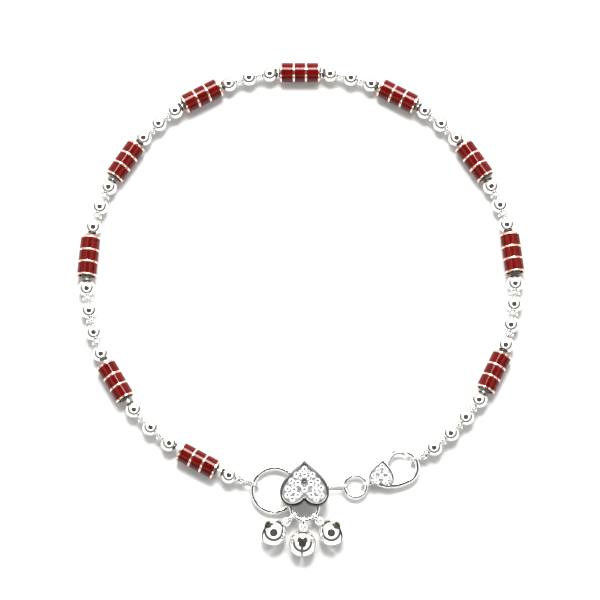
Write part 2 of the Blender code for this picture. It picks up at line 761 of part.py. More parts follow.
def anklet():
    """Lays out the fittings from the heart, then strings the beads between their two ends."""
    large_mean = (LARGE_RING_DIAMETER - LARGE_RING_WIRE) / 2
    large_centre = Vector((-LARGE_RING_LEFT, -LARGE_RING_DROP))
    bell_centre = Vector((0.0, -BELL_RING_DROP))
    heart_charm(large_centre, bell_centre)
    bell_group(bell_centre)
    large = ring("large_ring", LARGE_RING_DIAMETER, LARGE_RING_WIRE, SILVER)
    large.location = (*large_centre, LARGE_RING_LEVEL)

    link = wire("connector_link", stadium(CONNECTOR_LENGTH, CONNECTOR_HEIGHT, LINK_WIRE),
                LINK_WIRE, cyclic=True, kind=SILVER)
    link_start = CONNECTOR_STAPLE - STAPLE_WIRE / 2 - LINK_GAP - LINK_WIRE
    link.location = (link_start + CONNECTOR_LENGTH / 2, 0.0, CONNECTOR_HEIGHT / 2)
    small_mean = (SMALL_RING_DIAMETER - SMALL_RING_WIRE) / 2
    small_left = link_start + CONNECTOR_LENGTH - LINK_WIRE - LINK_GAP - SMALL_RING_WIRE / 2
    small_centre = Vector((small_left + small_mean, 0.0))
    small = ring("small_ring", SMALL_RING_DIAMETER, SMALL_RING_WIRE, SILVER)
    small.location = (*small_centre, SMALL_RING_LEVEL)

    grip = polar(small_centre, small_mean, SMALL_RING_GRIP)
    eye_mean = (CLASP_TAIL_EYE - LINK_WIRE) / 2
    origin = Vector((grip.x + eye_mean - SPINE[0][0] * HOOK_HALF_WIDTH,
                     grip.y - SPINE[0][1] * HOOK_HALF_HEIGHT))
    clasp_body(origin, grip)
    clasp_lever(origin)

    ring_hold = polar(large_centre, large_mean, LARGE_RING_GRIP)
    hook_hold = hook_point(origin, HOOK_GRIP)
    start = end_fitting("end_loop_start", ring_hold, LARGE_RING_LEVEL, LARGE_RING_WIRE,
                        START_LOOP_LENGTH, START_DIRECTION)
    finish = end_fitting("end_loop_finish", hook_hold, CLASP_LEVEL, CLASP_BAR,
                         FINISH_LOOP_LENGTH, FINISH_DIRECTION)
    items, spacers, length = strand_items()
    route = Route(start, finish, length)
    for number, (kind, along) in enumerate(item for item in items if item[0] == "bead"):
        piece = bead(f"bead_{number + 1:02d}")
        piece.matrix_world = facing(*route.at(along))
    for number, (kind, along) in enumerate(item for item in items if item[0] == "barrel"):
        piece = barrel(f"barrel_{number + 1:02d}")
        piece.matrix_world = facing(*route.chord(along, BARREL_LENGTH / 2))
    thread(route, spacers, length)
    return route


def centre_on_floor():
    """Moves the whole anklet so that the middle of its footprint is the origin."""
    bpy.context.view_layer.update()
    graph = bpy.context.evaluated_depsgraph_get()
    low = Vector((math.inf,) * 3)
    high = Vector((-math.inf,) * 3)
    for item in PARTS.objects:
        shape = item.evaluated_get(graph)
        for vertex in shape.data.vertices:
            point = shape.matrix_world @ vertex.co
            low = Vector(map(min, low, point))
            high = Vector(map(max, high, point))
    shift = Matrix.Translation((-(low.x + high.x) / 2, -(low.y + high.y) / 2, -low.z))
    place(list(PARTS.objects) + list(CUTTERS.objects), shift)


anklet()
centre_on_floor()
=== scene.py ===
"""Dresses the anklet: fine silver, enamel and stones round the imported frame, a studio and a camera.

Sizes are in millimetres and are turned into metres where a mesh is made. The row's X and Y lie
on the surface, +Z is up. Every place is worked out from the frame's boxes, the same way round as
the part is laid out: large ring, heart charm with its bells, connector link, small ring, clasp.
"""

import math
import random

import bpy
from mathutils import Matrix, Vector


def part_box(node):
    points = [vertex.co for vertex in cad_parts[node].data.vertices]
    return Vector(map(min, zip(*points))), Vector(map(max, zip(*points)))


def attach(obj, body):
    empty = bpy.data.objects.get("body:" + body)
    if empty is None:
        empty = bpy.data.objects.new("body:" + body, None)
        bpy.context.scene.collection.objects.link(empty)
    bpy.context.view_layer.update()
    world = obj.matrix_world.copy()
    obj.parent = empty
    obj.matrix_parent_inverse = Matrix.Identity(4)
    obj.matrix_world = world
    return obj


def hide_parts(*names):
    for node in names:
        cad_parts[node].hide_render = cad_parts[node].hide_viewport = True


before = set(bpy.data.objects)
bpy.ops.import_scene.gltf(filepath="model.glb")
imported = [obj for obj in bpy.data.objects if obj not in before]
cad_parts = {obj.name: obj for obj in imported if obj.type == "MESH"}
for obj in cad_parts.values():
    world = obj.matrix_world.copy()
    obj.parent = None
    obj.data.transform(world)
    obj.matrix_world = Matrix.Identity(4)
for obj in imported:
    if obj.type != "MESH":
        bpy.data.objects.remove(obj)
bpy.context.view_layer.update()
RANDOM = random.Random(7)

MM = 0.001
UP = Vector((0.0, 0.0, 1.0))
STEEP = 0.9

# Strand
BARRELS = 10
RUNS = (1, 3, 4, 3, 3, 3, 3, 3, 3, 4, 4)
BEAD_RADIUS = 1.60
BEAD_BORE = 0.55
BORE_STEP = 0.06
BORE_BEVEL = 0.10
BEAD_ROWS = 22
BEAD_SIDES = 36
BARREL_LENGTH = 7.50
BARREL_RADIUS = 1.90
BARREL_WALL = 0.40
BARREL_BEVEL = 0.07
BARREL_SIDES = 56
RIM_WIDTH = 0.34
RIM_SLOPE = 0.04
STRIPE_WIDTH = 0.36
STRIPE_SPACING = 2.30
STRIPE_CROWN = 0.02
STRIPE_EDGE = 0.05
ENAMEL_DEPTH = 0.06
SPACER_RADIUS = 1.05
SPACER_THICKNESS = 0.50
SPACER_PROUD = 0.25
SPACER_BULGE = 0.8
SPACER_STEPS = 6
SPACER_SIDES = 28
WIRE_RADIUS = 0.30
WIRE_BURY = 0.02
WIRE_SIDES = 12

# Links and rings. The power makes a wire's section squarer than the round of a power of 2
WIRE_POWER = 2.8
LINK_WIRE = 0.50
LINK_GAP = 0.16
LINK_SIDES = 24
STAPLE_WIRE = 0.45
STAPLE_STEPS = 12
STAPLE_SIDES = 14
RING_STEPS = 96
RING_SIDES = 36
SEAM_HALF = 0.03
SEAM_SHARE = 0.90
LARGE_WIRE = 0.85
SMALL_WIRE = 0.75
BELL_RING_WIRE = 0.70
LARGE_GRIP = math.radians(163)
LARGE_STAPLE = math.radians(24)
BELL_STAPLE = math.radians(90)
SMALL_GRIP = math.radians(10)
CONNECTOR_STAPLE = 3.60
CONNECTOR_STAPLE_TURN = math.radians(90)
RINGS = (
    # node, wire, direction of its seam
    ("large_ring", LARGE_WIRE, math.radians(262)),
    ("small_ring", SMALL_WIRE, math.radians(100)),
    ("bell_ring", BELL_RING_WIRE, math.radians(60)),
)

# End fittings
CUP_RADIUS = 0.95
CUP_LENGTH = 0.75
CUP_BEVEL = 0.12
CUP_FLOOR = 0.30
CUP_SIDES = 28
CUP_GROOVE = (0.62, 0.50, 0.38)
CUP_GROOVE_DEPTH = 0.12
LOOP_LEAN = math.radians(12)
LOOP_PLAY = 0.14
START_LENGTH = 3.35
START_DIRECTION = math.radians(163)
FINISH_LENGTH = 2.70
FINISH_DIRECTION = math.radians(27)
BURY = 0.15

# Hearts: the outline from the tip down the right side, as shares of half width and height
HEART_OUTLINE = (
    # x, y, x before, y before, x after, y after
    (0.00, 1.00, -0.38, 0.82, 0.38, 0.82),
    (1.00, 0.30, 1.00, 0.58, 1.00, 0.12),
    (0.52, 0.00, 0.80, 0.00, 0.28, 0.00),
    (0.00, 0.14, 0.10, 0.05, -0.10, 0.05),
)
HEART_WIDTH = 9.00
HEART_HEIGHT = 8.30
HEART_THICKNESS = 1.80
HEART_RIM = 0.45
HEART_RECESS = 0.40
HEART_LIP = 0.28
HEART_EDGE = 0.06
EDGE_ROUND = (0.35, 0.30)
RIM_STEP = 0.02
RIM_DROP = 0.12
PLATE_SINK = 0.01
STONE_DIAMETER = 1.20
# The stone at this row and place is drawn smaller and wholly in the painted dark reflection, its size
# by the share below.
STONE_PAINTED_DARK = (0.55, 0.0)
STONE_PAINTED_DARK_SHARE = 0.75
HEART_STONES = (
    # y, x of each stone
    (0.82, (0.0,)),
    (0.69, (-0.33, 0.33)),
    (0.68, (0.0,)),
    (0.55, (-0.54, 0.0, 0.54)),
    (0.50, (-0.27, 0.27)),
    (0.38, (-0.69, 0.69)),
    (0.35, (-0.42, 0.0, 0.42)),
    (0.22, (-0.70, -0.28, 0.28, 0.70)),
    (0.135, (-0.49, 0.49)),
)
FILLER_STONES = (
    # smaller stones in the gaps, y, x of each
    (0.757, (-0.173, 0.173)),
    (0.608, (-0.160, 0.160)),
    (0.448, (-0.478, 0.478)),
    (0.428, (-0.138, 0.138)),
    (0.277, (-0.544, 0.544)),
    (0.259, (-0.138, 0.138)),
)
FILLER_DIAMETER = 0.56

# The cut of a stone, as shares of its radius, or of its rise for the crown's height
CUT_SIDES = 8
CUT_RISE = 0.34
CUT_CROWN = 0.80
CUT_CROWN_HEIGHT = 0.66
CUT_TABLE = 0.46
CULETS = (0.18, 0.26, 0.34, 0.40)
CULET_SINK = 0.012
GIRDLE = 0.12
STONE_STAND = 0.10

# Grains between stones
PRONG_RADIUS = 0.16
PRONG_CROWN = 0.7
PRONG_PROUD = 0.02
PRONG_BURY = 0.05
PRONG_SIDES = 8
PRONG_REACH = 1.45

# Bells. Slit and hole reach past the shell, by shares of its radius
BELL_RADIUS = 2.50
BELL_WALL = 0.30
BELL_ROWS = 28
BELL_SIDES = 56
BELL_POLE = 0.02
BELL_EYE = 1.65
BELL_EYE_WIRE = 0.36
BELL_EYE_SINK = 0.05
BELL_LINK_WIRE = 0.60
BELL_SLIT = 0.42
SLIT_HALF_LENGTH = 1.5
SLIT_LOW = 1.05
SLIT_TOP = 0.05
HOLE_REACH = 1.2
EYE_STEPS = 36
BELL_HOLE_WIDTH = 1.80
BELL_HOLE_HEIGHT = 1.70
BELL_HOLE_SHIFT = 0.40
BELLS = (
    # name, direction from the ring, distance from the ring's wire, roll about its own axis
    ("left", math.radians(221), 4.90, math.radians(-38)),
    ("centre", math.radians(267), 4.40, 0.0),
    ("right", math.radians(315), 4.40, math.radians(35)),
)

# Clasp. Its points are shares of the hook's half sizes. The hook is at full thickness after an
# eighth of its length and tapers over its last part. The lever's steps count along its route
CLASP_BAR = 0.96
CLASP_LEVEL = 1.20
CLASP_SIDES = 36
TAIL_EYE = 2.15
HOOK_X = 2.75
HOOK_Y = 2.90
HOOK_START = math.radians(-72)
HOOK_END = math.radians(72)
HOOK_GRIP = math.radians(30)
HOOK_POINTS = 9
HOOK_SWELL = 8
HOOK_TAPER = 0.15
HOOK_TAPER_FROM = 0.85
HOOK_TAPER_LENGTH = 0.15
HOOK_ROUND = 0.16
HOOK_TIP = 0.75
SPINE = ((-2.16, -1.12), (-1.86, -1.02), (-1.13, -1.22), (-0.30, -1.16))
CLASP_HEART_WIDTH = 4.70
CLASP_HEART_HEIGHT = 4.90
CLASP_HEART_THICKNESS = 2.05
CLASP_HEART_RIM = 0.30
CLASP_HEART_LIP = 0.16
CLASP_HEART_LEFT = 3.90
CLASP_HEART_DROP = 1.25
CLASP_HEART_TURN = math.radians(-5)
CLASP_STONE = 0.95
CLASP_STONES = (
    (0.76, (0.0,)),
    (0.55, (-0.31, 0.31)),
    (0.34, (-0.62, 0.0, 0.62)),
    (0.15, (-0.36, 0.36)),
)
LEVER_PIVOT = (-1.13, -0.14)
LEVER_ROUTE = ((-1.00, 0.10), (-0.93, 0.38), (-0.76, 0.68), (-0.55, 0.86), (-0.30, 0.93),
               (-0.05, 0.905), (0.165, 0.765))
LEVER_START = 0.35
LEVER_STEPS = 6
LEVER_SWELL = 12
LEVER_BAR = 0.62
LEVER_NOSE = 0.30
LEVER_NOSE_ROUND = 0.05
LEVER_NOSE_TIP = 0.7
LEVER_ROOT = 0.40
LEVER_SIDES = 18
LEVER_EYE = 1.50
LEVER_BORE = 0.80
LEVER_EYE_THICKNESS = 0.46
LEVER_EYE_BEVEL = 0.05
LEVER_EYE_SIDES = 28
LEVER_SLOT = 0.80
LEVER_SLOT_DIAMETER = 2.10
LEVER_SLOT_SIDES = 48
LEVER_PIN = 0.50
LEVER_PIN_SIDES = 24
LEVER_NUB = 0.70
LEVER_NUB_REACH = 0.45
LEVER_NUB_POINT = 3
NUB_ROOT = 0.8
NUB_TOP = 0.75
NUB_ROUND = 0.06

# Angles in degrees between faces from which an edge is sharp
SHARP = 40
BARREL_SHARP = 18
RING_SHARP = 60
STONE_SHARP = 25
BELL_SHARP = 35

# Finishes: noise scales are per millimetre, reliefs in millimetres
NOISE_RANGE = (0.3, 0.7)
METAL_CLOUD = 0.9
METAL_FINE = 2.5
METAL_DETAIL = 3.0
METAL_WEAR = 0.0004
ENAMEL_CLOUD = 0.7
ENAMEL_DETAIL = 4.0
ENAMEL_DEEP = (0.060, 0.0010, 0.0007)
ENAMEL_BRIGHT = (0.100, 0.0022, 0.0010)
ENAMEL_ROUGHNESS = (0.06, 0.12)
ENAMEL_SPECULAR = 0.18
ENAMEL_WEAR = 0.0015
STONE_CLOUD = 2.0
STONE_DETAIL = 2.0
STONE_BRIGHT = (0.95, 0.96, 0.98)
STONE_DULL = (0.74, 0.77, 0.81)
STONE_METALLIC = 0.70
STONE_ROUGHNESS = (0.02, 0.06)
STONE_COAT_ROUGHNESS = 0.02

# Which of a piece's materials a face takes: for hearts and clasp, bells, barrels and thread
METAL_FACE, STONE_FACE, BED_FACE, DARK_REFLECTION_FACE, WALL_FACE = range(5)
INSIDE_FACE = 1
# On barrels and thread the bore faces and the spacers at the barrels' ends take the painted recess
# shade.
ENAMEL_FACE, STRIPE_FACE, BORE_FACE = range(3)
SHADED_SPACER_FACE = 1

# Camera, taken from the photo: elevation, distance, width of the picture and point looked at
ELEVATION = math.radians(76)
DISTANCE = 700.0
FRAME_WIDTH = 112.2
LOOK_AT = (-0.14, 1.68)
SENSOR = 36.0
CLIP_METRES = (0.01, 10.0)

# Floor and lamp, in metres apart from the floor's drop below the part
FLOOR_HALF = 1.5
FLOOR_DROP = 0.02
FLOOR_COLOUR = (0.60, 0.60, 0.594, 1.0)
FLOOR_ROUGHNESS = 0.9
WINDOW_PLACE = (0.0, 0.424, 0.678)
WINDOW_SIZE = (0.42, 0.32)
WINDOW_POWER = 15.0

# Light tent: the angles of its opening overhead, of the lamps round that and of the dark horizon,
# which rises towards the near side. A direction's Y is 1 on the far side and -1 on the near side
OPENING_RISE = math.radians(77)
OPENING_HALF = math.radians(38)
OPENING_EDGE = math.radians(2)
OPENING_SHADE = (0.11, 0.11, 0.105)
LAMP_BAND = math.radians(1.2)
LAMP_LIGHT = 8.0
HORIZON_FAR_Y = 0.70
HORIZON_NEAR_Y = 0.10
NEAR_TOP = math.radians(23)
HORIZON_EDGE = math.radians(3)
HORIZON_SHADE = (0.12, 0.12, 0.11)
TENT_LIGHT = 1.08


# Materials


def node_material(name):
    """An empty node material with its shader."""
    made = bpy.data.materials.new(name)
    made.use_nodes = True
    return made, made.node_tree.nodes, made.node_tree.links, made.node_tree.nodes["Principled BSDF"]


def noise(nodes, links, scale, detail):
    """Noise in the piece's own coordinates, per millimetre."""
    place = nodes.new("ShaderNodeTexCoord")
    texture = nodes.new("ShaderNodeTexNoise")
    texture.inputs["Scale"].default_value = scale / MM
    texture.inputs["Detail"].default_value = detail
    links.new(place.outputs["Object"], texture.inputs["Vector"])
    return texture.outputs["Fac"]


def spread(nodes, links, source, low=0.0, high=1.0):
    """Maps a noise to a range."""
    scaled = nodes.new("ShaderNodeMapRange")
    scaled.inputs["From Min"].default_value = NOISE_RANGE[0]
    scaled.inputs["From Max"].default_value = NOISE_RANGE[1]
    scaled.inputs["To Min"].default_value = low
    scaled.inputs["To Max"].default_value = high
    links.new(source, scaled.inputs["Value"])
    return scaled.outputs["Result"]


def blended(nodes, links, share, first, second):
    """A colour between two, by a share."""
    mix = nodes.new("ShaderNodeMix")
    mix.data_type = "RGBA"
    mix.inputs["A"].default_value = (*first, 1.0)
    mix.inputs["B"].default_value = (*second, 1.0)
    links.new(share, mix.inputs["Factor"])
    return mix.outputs["Result"]


def bumped(nodes, links, shader, source, depth):
    """A fine relief on the shader's normal, its depth in millimetres."""
    bump = nodes.new("ShaderNodeBump")
    bump.inputs["Strength"].default_value = 1.0
    bump.inputs["Distance"].default_value = depth * MM
    links.new(source, bump.inputs["Height"])
    links.new(bump.outputs["Normal"], shader.inputs["Normal"])


def metal(name, bright, dull, smooth, rough, wear=METAL_WEAR):
    """Polished metal with faint clouding and handling marks."""
    made, nodes, links, shader = node_material(name)
    shader.inputs["Metallic"].default_value = 1.0
    cloud = noise(nodes, links, METAL_CLOUD, METAL_DETAIL)
    links.new(blended(nodes, links, spread(nodes, links, cloud), bright, dull),
              shader.inputs["Base Color"])
    fine = noise(nodes, links, METAL_FINE, METAL_DETAIL)
    links.new(spread(nodes, links, fine, smooth, rough), shader.inputs["Roughness"])
    bumped(nodes, links, shader, fine, wear)
    return made


def enamel(name):
    """Deep red glossy enamel, a little uneven along the barrel."""
    made, nodes, links, shader = node_material(name)
    cloud = noise(nodes, links, ENAMEL_CLOUD, ENAMEL_DETAIL)
    links.new(blended(nodes, links, spread(nodes, links, cloud), ENAMEL_DEEP, ENAMEL_BRIGHT),
              shader.inputs["Base Color"])
    links.new(spread(nodes, links, cloud, *ENAMEL_ROUGHNESS), shader.inputs["Roughness"])
    shader.inputs["Specular IOR Level"].default_value = ENAMEL_SPECULAR
    bumped(nodes, links, shader, cloud, ENAMEL_WEAR)
    return made


def stone(name):
    """A clear cut stone over its bright foil: hard facets, faintly cloudy."""
    made, nodes, links, shader = node_material(name)
    cloud = noise(nodes, links, STONE_CLOUD, STONE_DETAIL)
    links.new(blended(nodes, links, spread(nodes, links, cloud), STONE_BRIGHT, STONE_DULL),
              shader.inputs["Base Color"])
    shader.inputs["Metallic"].default_value = STONE_METALLIC
    links.new(spread(nodes, links, cloud, *STONE_ROUGHNESS), shader.inputs["Roughness"])
    shader.inputs["Coat Weight"].default_value = 1.0
    shader.inputs["Coat Roughness"].default_value = STONE_COAT_ROUGHNESS
    return made


SILVER = metal("polished_silver", bright=(0.93, 0.92, 0.90), dull=(0.86, 0.85, 0.83),
               smooth=0.03, rough=0.06)
# Painted shade: the heart charm's side wall is a near-black copy of the silver, standing in for the
# shaded floor that the wall reflects.
SIDE_SHADE = metal("side_painted_shade", bright=(0.06, 0.06, 0.057), dull=(0.035, 0.035, 0.033),
             smooth=0.20, rough=0.30, wear=0.003)
# Painted shade: a dark copy of the silver for the barrels' bores, the spacers at the barrels' ends
# and the heart charm's sunk bed, where shade falls.
RECESS_SHADE = metal("silver_painted_recess_shade", bright=(0.15, 0.15, 0.14), dull=(0.07, 0.07, 0.066),
             smooth=0.30, rough=0.45, wear=0.004)
# Painted shade: a greyer copy of the silver for the clasp heart's sunk bed round its stones.
STONE_BED_SHADE = metal("silver_painted_shade_under_stones", bright=(0.62, 0.61, 0.60), dull=(0.40, 0.40, 0.39),
             smooth=0.15, rough=0.30, wear=0.003)
# Painted shade: the bell's inside is a dull yellowish-grey copy of the silver, so the slit and holes
# show the grey-brown shade within.
BELL_INSIDE_SHADE = metal("inside_of_bell_painted_shade", bright=(0.60, 0.60, 0.50), dull=(0.45, 0.45, 0.37),
               smooth=0.45, rough=0.60, wear=0.004)
# Painted shade: the clasp's lever is a grey copy of the silver, standing in for the lever seen in
# shade.
LEVER_SHADE = metal("lever_painted_shade", bright=(0.46, 0.46, 0.44), dull=(0.34, 0.34, 0.33),
              smooth=0.22, rough=0.34, wear=0.002)
# Painted reflection: the silver stripes, rims and barrel ends are tinted pink-orange for the red
# enamel they reflect.
STRIPE_RED_REFLECTION = metal("silver_stripe_painted_red_reflection", bright=(0.95, 0.70, 0.60), dull=(0.88, 0.55, 0.44),
               smooth=0.12, rough=0.25)
# Painted reflection: the near-black disc under each stone's table and the one stone drawn wholly in
# it stand for dark reflections in the stones.
CULET_REFLECTION = metal("culet_painted_dark_reflection", bright=(0.12, 0.12, 0.12), dull=(0.06, 0.06, 0.06),
              smooth=0.15, rough=0.30)
ENAMEL = enamel("red_enamel")
STONE = stone("clear_stone")


# Shapes


class Shape:
    """Points and faces gathered for one piece, each face with the index of its material."""

    def __init__(self):
        self.verts = []
        self.faces = []
        self.picks = []

    def take(self, verts, faces, matrix=None, picks=None):
        """Adds points and faces, moved by a matrix."""
        first = len(self.verts)
        if matrix is None:
            self.verts += [Vector(v) for v in verts]
        else:
            self.verts += [matrix @ Vector(v) for v in verts]
        self.faces += [tuple(first + index for index in face) for face in faces]
        self.picks += picks if picks else [METAL_FACE] * len(faces)

    def lathe(self, profile, sides, pick=METAL_FACE, matrix=None, picks=None, closed=True):
        """Turns an outline of (radius, height) round Z. It runs down the outside."""
        count = len(profile)
        verts = []
        for side in range(sides):
            angle = 2 * math.pi * side / sides
            for radius, height in profile:
                verts.append((radius * math.cos(angle), radius * math.sin(angle), height))
        faces = []
        chosen = []
        for side in range(sides):
            here = side * count
            there = ((side + 1) % sides) * count
            for row in range(count if closed else count - 1):
                after = (row + 1) % count
                faces.append((here + row, here + after, there + after, there + row))
                chosen.append(picks[row] if picks else pick)
        self.take(verts, faces, matrix=matrix, picks=chosen)

    def tube(self, points, radii, sides=16, cyclic=False, power=2.0, matrix=None):
        """Sweeps a wire along points, round at a power of 2 and squarer above that."""
        count = len(points)
        if not isinstance(radii, (list, tuple)):
            radii = [radii] * count
        points = [Vector(p) for p in points]
        verts = []
        side = None
        for index, point in enumerate(points):
            before = points[index - 1] if cyclic or index else point
            after = points[(index + 1) % count] if cyclic or index < count - 1 else point
            ahead = (after - before).normalized()
            if side is None:
                start = UP if abs(ahead.z) < STEEP else Vector((1.0, 0.0, 0.0))
                side = (start - ahead * start.dot(ahead)).normalized()
            else:
                side = (side - ahead * side.dot(ahead)).normalized()
            other = ahead.cross(side)
            for step in range(sides):
                angle = 2 * math.pi * step / sides
                up, out = math.cos(angle), math.sin(angle)
                up = math.copysign(abs(up) ** (2 / power), up)
                out = math.copysign(abs(out) ** (2 / power), out)
                verts.append(point + (side * up + other * out) * radii[index])
        faces = []
        for index in range(count if cyclic else count - 1):
            here = index * sides
            there = ((index + 1) % count) * sides
            for step in range(sides):
                after = (step + 1) % sides
                faces.append((here + step, there + step, there + after, here + after))
        if not cyclic:
            faces.append(tuple(range(sides - 1, -1, -1)))
            faces.append(tuple((count - 1) * sides + step for step in range(sides)))
        self.take(verts, faces, matrix)

    def build(self, name, kinds, slot, stands_for=(), body="anklet", sharp=SHARP):
        """Makes the piece from its points in millimetres, shades it and gives it to the frame."""
        mesh = bpy.data.meshes.new(name)
        mesh.from_pydata([Vector(v) * MM for v in self.verts], [], self.faces)
        for kind in kinds:
            mesh.materials.append(kind)
        mesh.polygons.foreach_set("material_index", self.picks)
        mesh.validate()
        shade(mesh, sharp)
        made = bpy.data.objects.new(name, mesh)
        bpy.context.scene.collection.objects.link(made)
        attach(made, body)
        if stands_for:
            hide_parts(*stands_for)
        return made


def shade(mesh, sharp):
    """Smooth faces, with sharp edges from an angle in degrees."""
    mesh.shade_smooth()
    mesh.set_sharp_from_angle(angle=math.radians(sharp))


def circle(radius):
    """Points of an eye's circle in XY."""
    return [(radius * math.cos(2 * math.pi * step / EYE_STEPS),
             radius * math.sin(2 * math.pi * step / EYE_STEPS), 0.0) for step in range(EYE_STEPS)]


def stadium(length, height, thickness, steps=14):
    """Centre-line points of an oval link in XZ, given by its outer sizes."""
    bend = (height - thickness) / 2
    straight = max((length - height) / 2, 0.0)
    points = []
    for side in (1, -1):
        for step in range(steps + 1):
            angle = math.radians(-90 + 180 * step / steps)
            points.append((side * (straight + bend * math.cos(angle)), 0.0,
                           side * bend * math.sin(angle)))
    return points


def smooth_route(points, steps=8):
    """A Catmull-Rom curve through the points."""
    points = [Vector(p) for p in points]
    padded = [points[0] * 2 - points[1]] + points + [points[-1] * 2 - points[-2]]
    route = []
    for index in range(1, len(padded) - 2):
        a, b, c, d = padded[index - 1:index + 3]
        for step in range(steps):
            t = step / steps
            route.append(0.5 * ((2 * b) + (c - a) * t + (2 * a - 5 * b + 4 * c - d) * t * t
                                + (3 * b - a - 3 * c + d) * t ** 3))
    route.append(points[-1])
    return route


def polar(centre, radius, angle):
    """A point at a distance and angle from a centre in the plane."""
    return Vector((centre[0] + radius * math.cos(angle), centre[1] + radius * math.sin(angle)))


def facing(point, direction):
    """A frame at the point with its Z along the direction and its Y kept level."""
    ahead = direction.normalized()
    side = UP.cross(ahead).normalized()
    up = side.cross(ahead)
    return Matrix.Translation(point) @ Matrix((up, side, ahead)).transposed().to_4x4()


def middle_of(node):
    """The middle of a CAD node's box, in millimetres."""
    low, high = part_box(node)
    return (low + high) / 2 / MM


# The strand


def bead_shape(matrix):
    """A round bead with a softly rounded bore."""
    shape = Shape()
    start = math.asin(BEAD_BORE / BEAD_RADIUS)
    profile = []
    for row in range(BEAD_ROWS + 1):
        angle = start + (math.pi - 2 * start) * row / BEAD_ROWS
        profile.append((BEAD_RADIUS * math.sin(angle), BEAD_RADIUS * math.cos(angle)))
    low = profile[-1][1]
    bore = BEAD_BORE - BORE_STEP
    profile += [(bore, low + BORE_BEVEL), (bore, -low - BORE_BEVEL)]
    shape.lathe(profile, BEAD_SIDES, matrix=matrix)
    return shape


def barrel_shape(matrix):
    """A tube with three enamel bands between rims and two raised stripes."""
    outer = BARREL_RADIUS
    red = outer - ENAMEL_DEPTH
    bore = outer - BARREL_WALL
    half = BARREL_LENGTH / 2
    bevel = BARREL_BEVEL
    rim = half - RIM_WIDTH
    stripe = STRIPE_SPACING / 2
    wide = STRIPE_WIDTH / 2
    upper = [
        # radius, height, material of the stretch that follows
        (bore, half - bevel, STRIPE_FACE),
        (bore + bevel, half, STRIPE_FACE),
        (outer - bevel, half, STRIPE_FACE),
        (outer, half - bevel, STRIPE_FACE),
        (outer, rim + RIM_SLOPE, STRIPE_FACE),
        (red, rim, ENAMEL_FACE),
        (red, (rim + stripe) / 2, ENAMEL_FACE),
        (red, stripe + wide, STRIPE_FACE),
        (outer - STRIPE_CROWN, stripe + wide - STRIPE_EDGE, STRIPE_FACE),
        (outer, stripe, STRIPE_FACE),
        (outer - STRIPE_CROWN, stripe - wide + STRIPE_EDGE, STRIPE_FACE),
        (red, stripe - wide, ENAMEL_FACE),
        (red, 0.0, ENAMEL_FACE),
    ]
    profile = [(radius, height) for radius, height, _ in upper]
    profile += [(radius, -height) for radius, height, _ in reversed(upper[:-1])]
    picks = [pick for _, _, pick in upper[:-1]]
    picks = picks + picks[::-1] + [BORE_FACE]
    shape = Shape()
    shape.lathe(profile, BARREL_SIDES, matrix=matrix, picks=picks)
    return shape


def spacer(shape, point, ahead, pick=METAL_FACE):
    """A small disc with a rounded edge."""
    half = SPACER_THICKNESS / 2
    bore = WIRE_RADIUS - WIRE_BURY
    profile = [(bore, half)]
    for step in range(SPACER_STEPS + 1):
        angle = math.radians(90 - 180 * step / SPACER_STEPS)
        radius = SPACER_RADIUS - half * SPACER_BULGE * (1 - math.cos(angle))
        profile.append((radius, half * math.sin(angle)))
    profile.append((bore, -half))
    shape.lathe(profile, SPACER_SIDES, pick=pick, matrix=facing(point, ahead))


def strand():
    """Beads, barrels, spacers and the wire through them."""
    order = []
    number = 0
    for run, count in enumerate(RUNS):
        for _ in range(count):
            number += 1
            order.append(f"bead_{number:02d}")
        if run < BARRELS:
            order.append(f"barrel_{run + 1:02d}")
    places = [middle_of(name) for name in order]
    ahead = []
    for index, name in enumerate(order):
        before = places[max(index - 1, 0)]
        after = places[min(index + 1, len(order) - 1)]
        ahead.append((after - before).normalized())
    for name, place, along in zip(order, places, ahead):
        if name.startswith("bead"):
            spin = Matrix.Rotation(RANDOM.uniform(0, math.tau), 4, "Z")
            piece = bead_shape(facing(place, along) @ spin)
            piece.build("fine_" + name, [SILVER], "silver", [name])
        else:
            piece = barrel_shape(facing(place, along))
            piece.build("fine_" + name, [ENAMEL, STRIPE_RED_REFLECTION, RECESS_SHADE], "enamel", [name],
                        sharp=BARREL_SHARP)
    shape = Shape()
    for index in range(len(order) - 1):
        first, second = places[index], places[index + 1]
        if order[index].startswith("bead") and order[index + 1].startswith("bead"):
            spacer(shape, (first + second) / 2, second - first)
        else:
            barrel_first = order[index].startswith("barrel")
            barrel_at = first if barrel_first else second
            along = ahead[index] if barrel_first else -ahead[index + 1]
            reach = BARREL_LENGTH / 2 + SPACER_PROUD - SPACER_THICKNESS / 2
            spacer(shape, barrel_at + along * reach, along, SHADED_SPACER_FACE)
    start_face, finish_face = cup_faces()
    route = [start_face] + places + [finish_face]
    shape.tube(smooth_route(route, 4), WIRE_RADIUS, sides=WIRE_SIDES)
    shape.build("fine_thread", [SILVER, RECESS_SHADE], "wire", ["thread"])


# Rings, links and end fittings


def ring_mean(node, thickness):
    """The radius of a ring's centre line."""
    low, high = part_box(node)
    return ((high.x - low.x) / MM - thickness) / 2


def jump_ring(node, thickness, seam):
    """A round ring with the fine cut where it was closed."""
    centre = middle_of(node)
    mean = ring_mean(node, thickness)
    shape = Shape()
    gap = SEAM_HALF / mean
    points = []
    radii = []
    for step in range(RING_STEPS + 1):
        angle = seam + gap + (math.tau - 2 * gap) * step / RING_STEPS
        points.append((centre.x + mean * math.cos(angle), centre.y + mean * math.sin(angle),
                       centre.z))
        radii.append(thickness / 2 * (SEAM_SHARE if step in (0, RING_STEPS) else 1.0))
    shape.tube(points, radii, sides=RING_SIDES, power=WIRE_POWER)
    shape.build("fine_" + node, [SILVER], "silver", [node], sharp=RING_SHARP)


